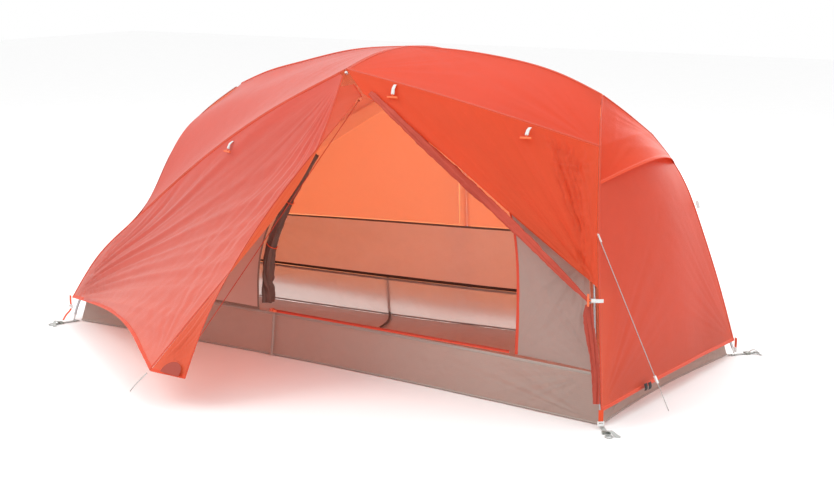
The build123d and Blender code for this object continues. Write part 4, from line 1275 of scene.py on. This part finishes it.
class TENT_OT_webbing(bpy.types.Operator):
    """Corner straps, tabs, toggle loops, the corner patch and the small labels."""

    bl_idname = "tent.webbing"
    bl_label = "Webbing and small trim"

    def execute(self, context):
        for name, (at, down, out) in TOGGLES.items():
            down, out = unit(np.array(down, float)), unit(np.array(out, float))
            root = np.array(at) + out * 0.009
            steps = (
                (-0.010, -0.0085), (-0.004, -0.004), (0.004, 0.0008), (0.014, 0.0018), (0.0205, 0.0015),
                (0.0224, 0), (0.0205, -0.0015), (0.014, -0.0014), (0.004, -0.0010), (-0.003, -0.0055),
            )
            points = [root + down * a + out * b for a, b in steps]
            band(
                f"loop_{name}", points, 0.011, np.cross(down, out), 0.0007, "tape_white", FLY,
                "webbing_grey", "toggle_loops", count=80,
            )
        for name, ((x, y), way, hem) in CORNERS.items():
            out = unit(np.array([*way, 0.0]))
            side = np.array([-out[1], out[0], 0.0])
            near = np.array([x, y, 0.0])
            up = np.array([0.0, 0, 1.0])
            steps = ((-0.006, 0.0030), (0.020, 0.0026), (0.050, 0.0027), (0.075, 0.0027), (0.096, 0.0026))
            band(
                f"corner_web_{name}", [near + out * a + up * z for a, z in steps], 0.015, side, 0.0015,
                "webbing", INNER, "webbing_grey", "corner_straps"
            )
            ring_of(
                f"corner_ring_{name}", near + out * 0.105 + up * 0.0028, up + out * 0.1, 0.0105, 0.0017,
                "cord", INNER, "webbing_grey",
            )
            sign = 1 if y < 0 else -1
            steps = (
                (0.066, 0, 0.0062), (0.076, 0.001, 0.0085), (0.088, 0.005, 0.0150), (0.098, 0.013, 0.0125),
                (0.104, 0.024, 0.0040), (0.107, 0.034, 0.0018),
            )
            tail = [near + out * a + side * b * sign + up * z for a, b, z in steps]
            band(
                f"corner_tail_{name}", tail, 0.013, side * 0.9 + out * 0.35 * -sign, 0.0014, "webbing",
                INNER, "webbing_grey",
            )
            drop = np.array(hem) + out * 0.006
            steps = ((0, 0.010), (0.0004, 0.002), (0.0004, -0.012), (0.0, -0.0245))
            band(
                f"corner_tab_{name}", [drop + out * a + up * z for a, z in steps], 0.015, side, 0.0016,
                "tape_red", FLY, "webbing_grey", "fly_webbing_tabs"
            )
            end = near + out * 0.058 + up * 0.0120
            begin = drop - up * 0.0400
            if begin[2] > 0.02:
                points = [drop - up * 0.026, begin, begin * 0.5 + end * 0.5 + up * 0.002, end]
                band(f"corner_pull_{name}", points, 0.012, side, 0.0015, "tape_red", FLY, "webbing_grey")
        top, low = np.array([1.040, -0.362, 0.540]), np.array([1.237, -0.260, 0.008])
        run = unit(low - top)
        for sign in (-1, 1):
            flip = np.array([1.0, -sign, 1.0])
            centre = (top + (0.004, -0.004, 0)) * flip
            way, out = run * flip, unit(np.array([0.6, 0.8, 0.0]) * flip)
            side = unit(np.cross(way, out))
            points = [centre - way * 0.013, centre, centre + way * 0.014]
            name = "front" if sign < 0 else "back"
            band(
                f"guy_tab_{name}", points, 0.012, side, 0.0012, "tape_white", FLY, "webbing_grey",
                "fly_webbing_tabs",
            )
        u = np.linspace(0, 1, 40)[None, :, None]
        v = np.linspace(0, 1, 26)[:, None, None]
        a, b = np.array([-0.118, -1.0245, 0.1075]), np.array([-0.040, -1.0310, 0.1035])
        rise = np.array([0.010, 0.0245, 0.0330])
        arch = np.sqrt(np.clip(1 - (2 * u - 1) ** 2, 0, 1))
        p = a * (1 - u) + b * u + rise * v * (0.10 + 0.90 * arch) + np.array([0.02, -0.10, 0.03]) * 0.03
        obj = place(
            "corner_patch", grid_mesh("corner_patch", p), "patch_dark", FLY, "fly_dark", "fly_corner_patch",
        )
        for i, (y, z) in enumerate(((-0.246, 0.068), (-0.222, 0.067))):
            w = np.linspace(-0.011, 0.011, 12)[None]
            t = np.linspace(0, 1, 18)[:, None]
            bow = 0.0035 * np.sin(math.pi * t * 0.8) + 0.001 * np.cos(w * 160)
            x = 1.1512 + bow + 0.002 * i + 0 * w
            p = np.stack([x, y + w + 0.0 * t, z + 0.011 - 0.022 * t + 0 * w], -1)
            nodes = ["care_label"] if i == 0 else []
            obj = place(f"label_{i}", grid_mesh(f"label_{i}", p), "label", FLY, "label", *nodes)
        return {"FINISHED"}


class TENT_OT_hardware(bpy.types.Operator):
    """Give the poles, hubs, clips, buckles, sliders and toggles their finishes."""

    bl_idname = "tent.hardware"
    bl_label = "Hardware finishes"

    def execute(self, context):
        finishes = {
            "pole": ("pole_ridge", "pole_brow", "pole_leg_"),
            "bare": ("pole_tips", "grommets"),
            "ferrule": ("pole_ferrules",),
            "hub": ("hub_",),
            "clip": ("canopy_clips",),
            "elastic": ("shock_cord",),
            "slider": ("fly_zip_slider", "inner_zip_slider"),
            "pull": ("fly_zip_pull", "inner_zip_pull"),
            "toggle": ("toggle_foot", "toggle_mid", "toggle_head", "toggle_low"),
            "lock": ("ladder_lock_",),
            "white": ("fly_corner_buckles", "guyline_tensioner"),
        }
        for paint, starts in finishes.items():
            found = [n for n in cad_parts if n.startswith(starts)]
            if not found:
                raise RuntimeError(f"no part takes the finish {paint}")
            for n in found:
                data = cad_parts[n].data
                data.materials.clear()
                data.materials.append(Kit.paints[paint])
        return {"FINISHED"}


def braid_paint(name, colour, pitch):
    """Round cord: a plaited surface, from its place along the cord."""
    p = Paint(name)
    body = p.add("ShaderNodeTexCoord", {}, 3)
    split = p.add("ShaderNodeSeparateXYZ", {}, Vector=body)
    x, y, z = (Sock(p, split.out.node.outputs[i]) for i in range(3))
    k = math.pi * 2 / pitch
    one = ((z * 1.3 + x + y * 0.4) * k).sin()
    two = ((z * 1.3 - x - y * 0.4) * k).sin()
    weave = one.most(two)
    grain = p.noise(body, 1400.0, 2.0)
    # Painted shade: the tint follows the plaits and grain that also make the bump, darker between the
    # strands.
    tint = p.mix(
        (weave * 0.3 + grain * 0.5 + 0.1).clamp(), [c * 0.55 for c in colour],
        [min(1, c * 1.15) for c in colour]
    )
    normal = p.bump(weave * 0.6 + grain * 0.4, 0.7, 0.0004)
    return p.finish(
        p.add(
            "ShaderNodeBsdfPrincipled", {}, Base_Color=tint, Roughness=0.8, Normal=normal,
            Sheen_Weight=0.25,
        )
    )


def mix_paints(context):
    """Every finish on the tent, by its short name."""
    s, c = context.scene.tent_sizes, context.scene.tent_colours
    fly, far, head, glow = tuple(c.fly), tuple(c.fly_far_sheen), tuple(c.fly_head), tuple(c.fly_glow)
    tub, pale, mesh, trim = tuple(c.tub), tuple(c.pale), tuple(c.mesh), tuple(c.trim)
    # The far fly colour and its glow are pushed towards pink: painted sheen on the far panels.
    far_glow = tuple(a * 0.7 + b * 0.3 for a, b in zip(glow, (1.0, 0.45, 0.32)))
    made = {
        "fly": cloth_paint("fly near", fly, glow, c.glow, s.grid),
        "fly_far_sheen": cloth_paint("fly far painted sheen", far, far_glow, c.glow * 0.9, s.grid, rough=0.36, sheen=0.4),
        # The head panel's colour is the fly cloth darkened for painted shade.
        "fly_head": cloth_paint("fly head", head, glow, c.glow * 0.9, s.grid, tone=0.16),
        # The back wall is the fly cloth made brighter and more peach, with more light let through: painted
        # glow of the back wall lit from behind.
        "fly_back": cloth_paint("fly back", (0.92, 0.22, 0.085), (1.0, 0.36, 0.16), c.glow + 0.18, s.grid),
        # The strip is the fly cloth darkened: painted shade on the folded strip beside the zip.
        "fly_strip": cloth_paint("fly strip", (0.66, 0.100, 0.045), glow, c.glow * 0.7, s.grid, tone=0.16),
        "fly_door": cloth_paint("fly door", (0.84, 0.105, 0.034), glow, c.glow, s.grid, tone=0.10),
        # The rolled door and its tail use the fly cloth darkened for painted shade in their folds, the tail
        # darker still.
        "fly_dark": cloth_paint("fly rolled", tuple(c.dark), glow, 0.0, s.grid, tone=0.45, wear=2.0),
        "fly_tail": cloth_paint(
            "fly tail", tuple(a * 0.85 for a in c.dark), glow, 0.0, s.grid, tone=0.5, wear=2.0
        ),
        "patch_dark": cloth_paint(
            "fly patch", tuple(a * 0.75 for a in c.dark), glow, 0.0, s.grid * 0.6, tone=0.2
        ),
        "seam": trim_paint("fly seam", (0.60, 0.062, 0.024), s.stitch, rough=0.5, stitched=True),
        "hem": trim_paint("fly hem", (0.72, 0.068, 0.022), s.stitch, rough=0.5, stitched=True),
        "tape": trim_paint("canopy tape", (0.22, 0.15, 0.12), s.stitch, stitched=True),
        "binding": trim_paint("tub binding", (0.085, 0.055, 0.045), s.stitch, stitched=True),
        "tub_tape": trim_paint("tub tape", tuple(a * 0.92 for a in tub), s.stitch, stitched=True),
        "tape_white": trim_paint("white tape", tuple(c.white), s.stitch, ribs=5.0),
        "tape_red": trim_paint("red tape", trim, s.stitch, ribs=7.0),
        "webbing": trim_paint("webbing", tuple(c.web), s.stitch, rough=0.75, ribs=6.0),
        "zip": trim_paint("zip tape", (0.62, 0.060, 0.028), s.stitch, stitched=True),
        "coil": hard_paint("zip coil", (0.50, 0.050, 0.025), rough=0.35),
        "trim": hard_paint("trim", trim, rough=0.5),
        "sheer": mesh_paint("sheer canopy", mesh, (1.0, 0.55, 0.36), 0.0017, 0.35, 0.55),
        "pale_fine": mesh_paint("fine canopy", (0.62, 0.42, 0.37), (0.9, 0.50, 0.38), 0.0014, 0.14, 0.3),
        "pale": cloth_paint(
            "plain canopy", pale, (1.0, 0.74, 0.60), c.glow_inner, s.grid, tone=0.14, wear=1.6,
        ),
        # The two front canopy cloths below are the plain canopy cloth darkened: painted shade on the front
        # walls under the rainfly.
        "canopy_shaded": cloth_paint(
            "shaded canopy", (0.40, 0.31, 0.275), (0.70, 0.46, 0.38), c.glow_inner * 0.5, s.grid, wear=1.6,
        ),
        "front_low": cloth_paint(
            "front canopy", (0.56, 0.42, 0.37), (0.85, 0.55, 0.44), c.glow_inner * 0.5, s.grid, wear=1.6,
        ),
        "tub": cloth_paint("tub", tub, (0.84, 0.66, 0.58), 0.30, s.grid, rough=0.4, tone=0.14, wear=1.8),
        "pale_far": cloth_paint(
            "far canopy", (0.86, 0.74, 0.70), (0.96, 0.80, 0.74), 0.34, s.grid, tone=0.2, wear=1.6,
        ),
        # The far tub wall is the tub cloth made much lighter and let glow through: painted light on the wall
        # lit through the door.
        "tub_far_lit": cloth_paint(
            "tub far wall", (0.64, 0.57, 0.54), (0.95, 0.86, 0.82), 0.4, s.grid, rough=0.4, tone=0.14,
            wear=1.8,
        ),
        # The floor is the tub cloth made lighter: painted light on the floor inside the tent.
        "floor_in": cloth_paint("floor", (0.56, 0.46, 0.42), glow, 0.0, s.grid, rough=0.38, wear=1.6),
        "door_mesh": cloth_paint(
            "bunched mesh", tuple(c.door), glow, 0.0, 0.0016, rough=0.8, tone=0.6, weave=0.8,
        ),
        "cord": braid_paint("cord", tuple(c.web), 0.0016),
        "elastic": braid_paint("elastic", (0.75, 0.75, 0.72), 0.0014),
        "label": trim_paint("label", (0.020, 0.018, 0.020), s.stitch, ribs=3.0),
        "pole": hard_paint("pole", (0.50, 0.52, 0.54), rough=0.30, metal=1.0, fleck=0.05),
        "ferrule": hard_paint("ferrule", (0.42, 0.43, 0.45), rough=0.36, metal=1.0),
        "bare": hard_paint("bare metal", (0.72, 0.72, 0.71), rough=0.30, metal=1.0),
        "hub": hard_paint("hub plastic", (0.045, 0.045, 0.050), rough=0.5),
        "clip": hard_paint("clip plastic", (0.060, 0.060, 0.066), rough=0.5),
        "slider": hard_paint("slider", (0.70, 0.13, 0.05), rough=0.36, metal=0.3, coat=0.3),
        "pull": hard_paint("zip pull", (0.80, 0.16, 0.06), rough=0.6),
        "toggle": hard_paint("toggle", (0.86, 0.16, 0.05), rough=0.5),
        "lock": hard_paint("ladder lock", (0.24, 0.25, 0.22), rough=0.5),
        "white": hard_paint("pale plastic", tuple(c.white), rough=0.48),
    }
    Kit.paints.update(made)


class TENT_OT_stage(bpy.types.Operator):
    """A pale floor, an even pale surround and two soft lamps."""

    bl_idname = "tent.stage"
    bl_label = "Studio"

    def execute(self, context):
        mesh = bpy.data.meshes.new("studio_floor")
        r = 14.0
        mesh.from_pydata([(-r, -r, 0), (r, -r, 0), (r, r, 0), (-r, r, 0)], [], [(0, 1, 2, 3)])
        floor = bpy.data.objects.new("studio_floor", mesh)
        context.scene.collection.objects.link(floor)
        p = Paint("studio floor")
        grain = p.noise(p.add("ShaderNodeTexCoord", {}, 3), 9.0, 4.0)
        tint = p.mix(grain, (0.95, 0.95, 0.95), (0.98, 0.98, 0.98))
        mesh.materials.append(
            p.finish(
                p.add(
                    "ShaderNodeBsdfPrincipled", {}, Base_Color=tint, Roughness=0.9, Specular_IOR_Level=0.1,
                )
            )
        )
        world = bpy.data.worlds.new("surround")
        world.use_nodes = True
        world.node_tree.nodes["Background"].inputs[0].default_value = (1, 1, 1, 1)
        world.node_tree.nodes["Background"].inputs[1].default_value = 1.0
        context.scene.world = world
        context.scene.view_settings.view_transform = "Standard"
        lamps = (
            ("key", (-2.6, -3.6, 4.4), 4.0, 105, (1.0, 0.985, 0.96)),
            ("fill", (4.6, -2.2, 2.6), 3.5, 34, (0.97, 0.985, 1.0)),
            ("top", (0.2, 1.6, 4.6), 4.0, 60, (1.0, 1.0, 1.0)),
            ("back", (0.2, 4.6, 1.7), 3.5, 95, (1.0, 0.99, 0.97)),
        )
        for name, place_at, size, power, colour in lamps:
            data = bpy.data.lights.new(name, "AREA")
            data.shape = "DISK"
            data.size = size
            data.energy = power
            data.color = colour
            lamp = bpy.data.objects.new(name, data)
            lamp.location = place_at
            lamp.rotation_euler = (
                Vector((0, 0, 0.5)) - Vector(place_at)
            ).to_track_quat("-Z", "Y").to_euler()
            context.scene.collection.objects.link(lamp)
        return {"FINISHED"}


class TENT_PT_panel(bpy.types.Panel):
    """The tent's sizes, its colours and each step of its making."""

    bl_idname = "TENT_PT_panel"
    bl_label = "Tent on poles"
    bl_space_type = "VIEW_3D"
    bl_region_type = "UI"
    bl_category = "Tent"

    def draw(self, context):
        for group in (context.scene.tent_sizes, context.scene.tent_colours):
            box = self.layout.box()
            for key in group.__annotations__:
                box.prop(group, key)
        for operator in OPERATORS:
            self.layout.operator(operator.bl_idname)


OPERATORS = (
    TENT_OT_camera, TENT_OT_cords, TENT_OT_roof, TENT_OT_back, TENT_OT_ends, TENT_OT_vestibule, TENT_OT_door,
    TENT_OT_canopy, TENT_OT_tub, TENT_OT_zips, TENT_OT_webbing, TENT_OT_hardware, TENT_OT_stage,
)
CLASSES = (TentSizes, TentColours, *OPERATORS, TENT_PT_panel)


def register():
    for item in CLASSES:
        bpy.utils.register_class(item)
    bpy.types.Scene.tent_sizes = PointerProperty(type=TentSizes)
    bpy.types.Scene.tent_colours = PointerProperty(type=TentColours)


def unregister():
    del bpy.types.Scene.tent_colours
    del bpy.types.Scene.tent_sizes
    for item in reversed(CLASSES):
        bpy.utils.unregister_class(item)


def main():
    register()
    mix_paints(bpy.context)
    for operator in OPERATORS:
        getattr(bpy.ops.tent, operator.bl_idname.split(".")[1])()


if __name__ == "__main__":
    main()
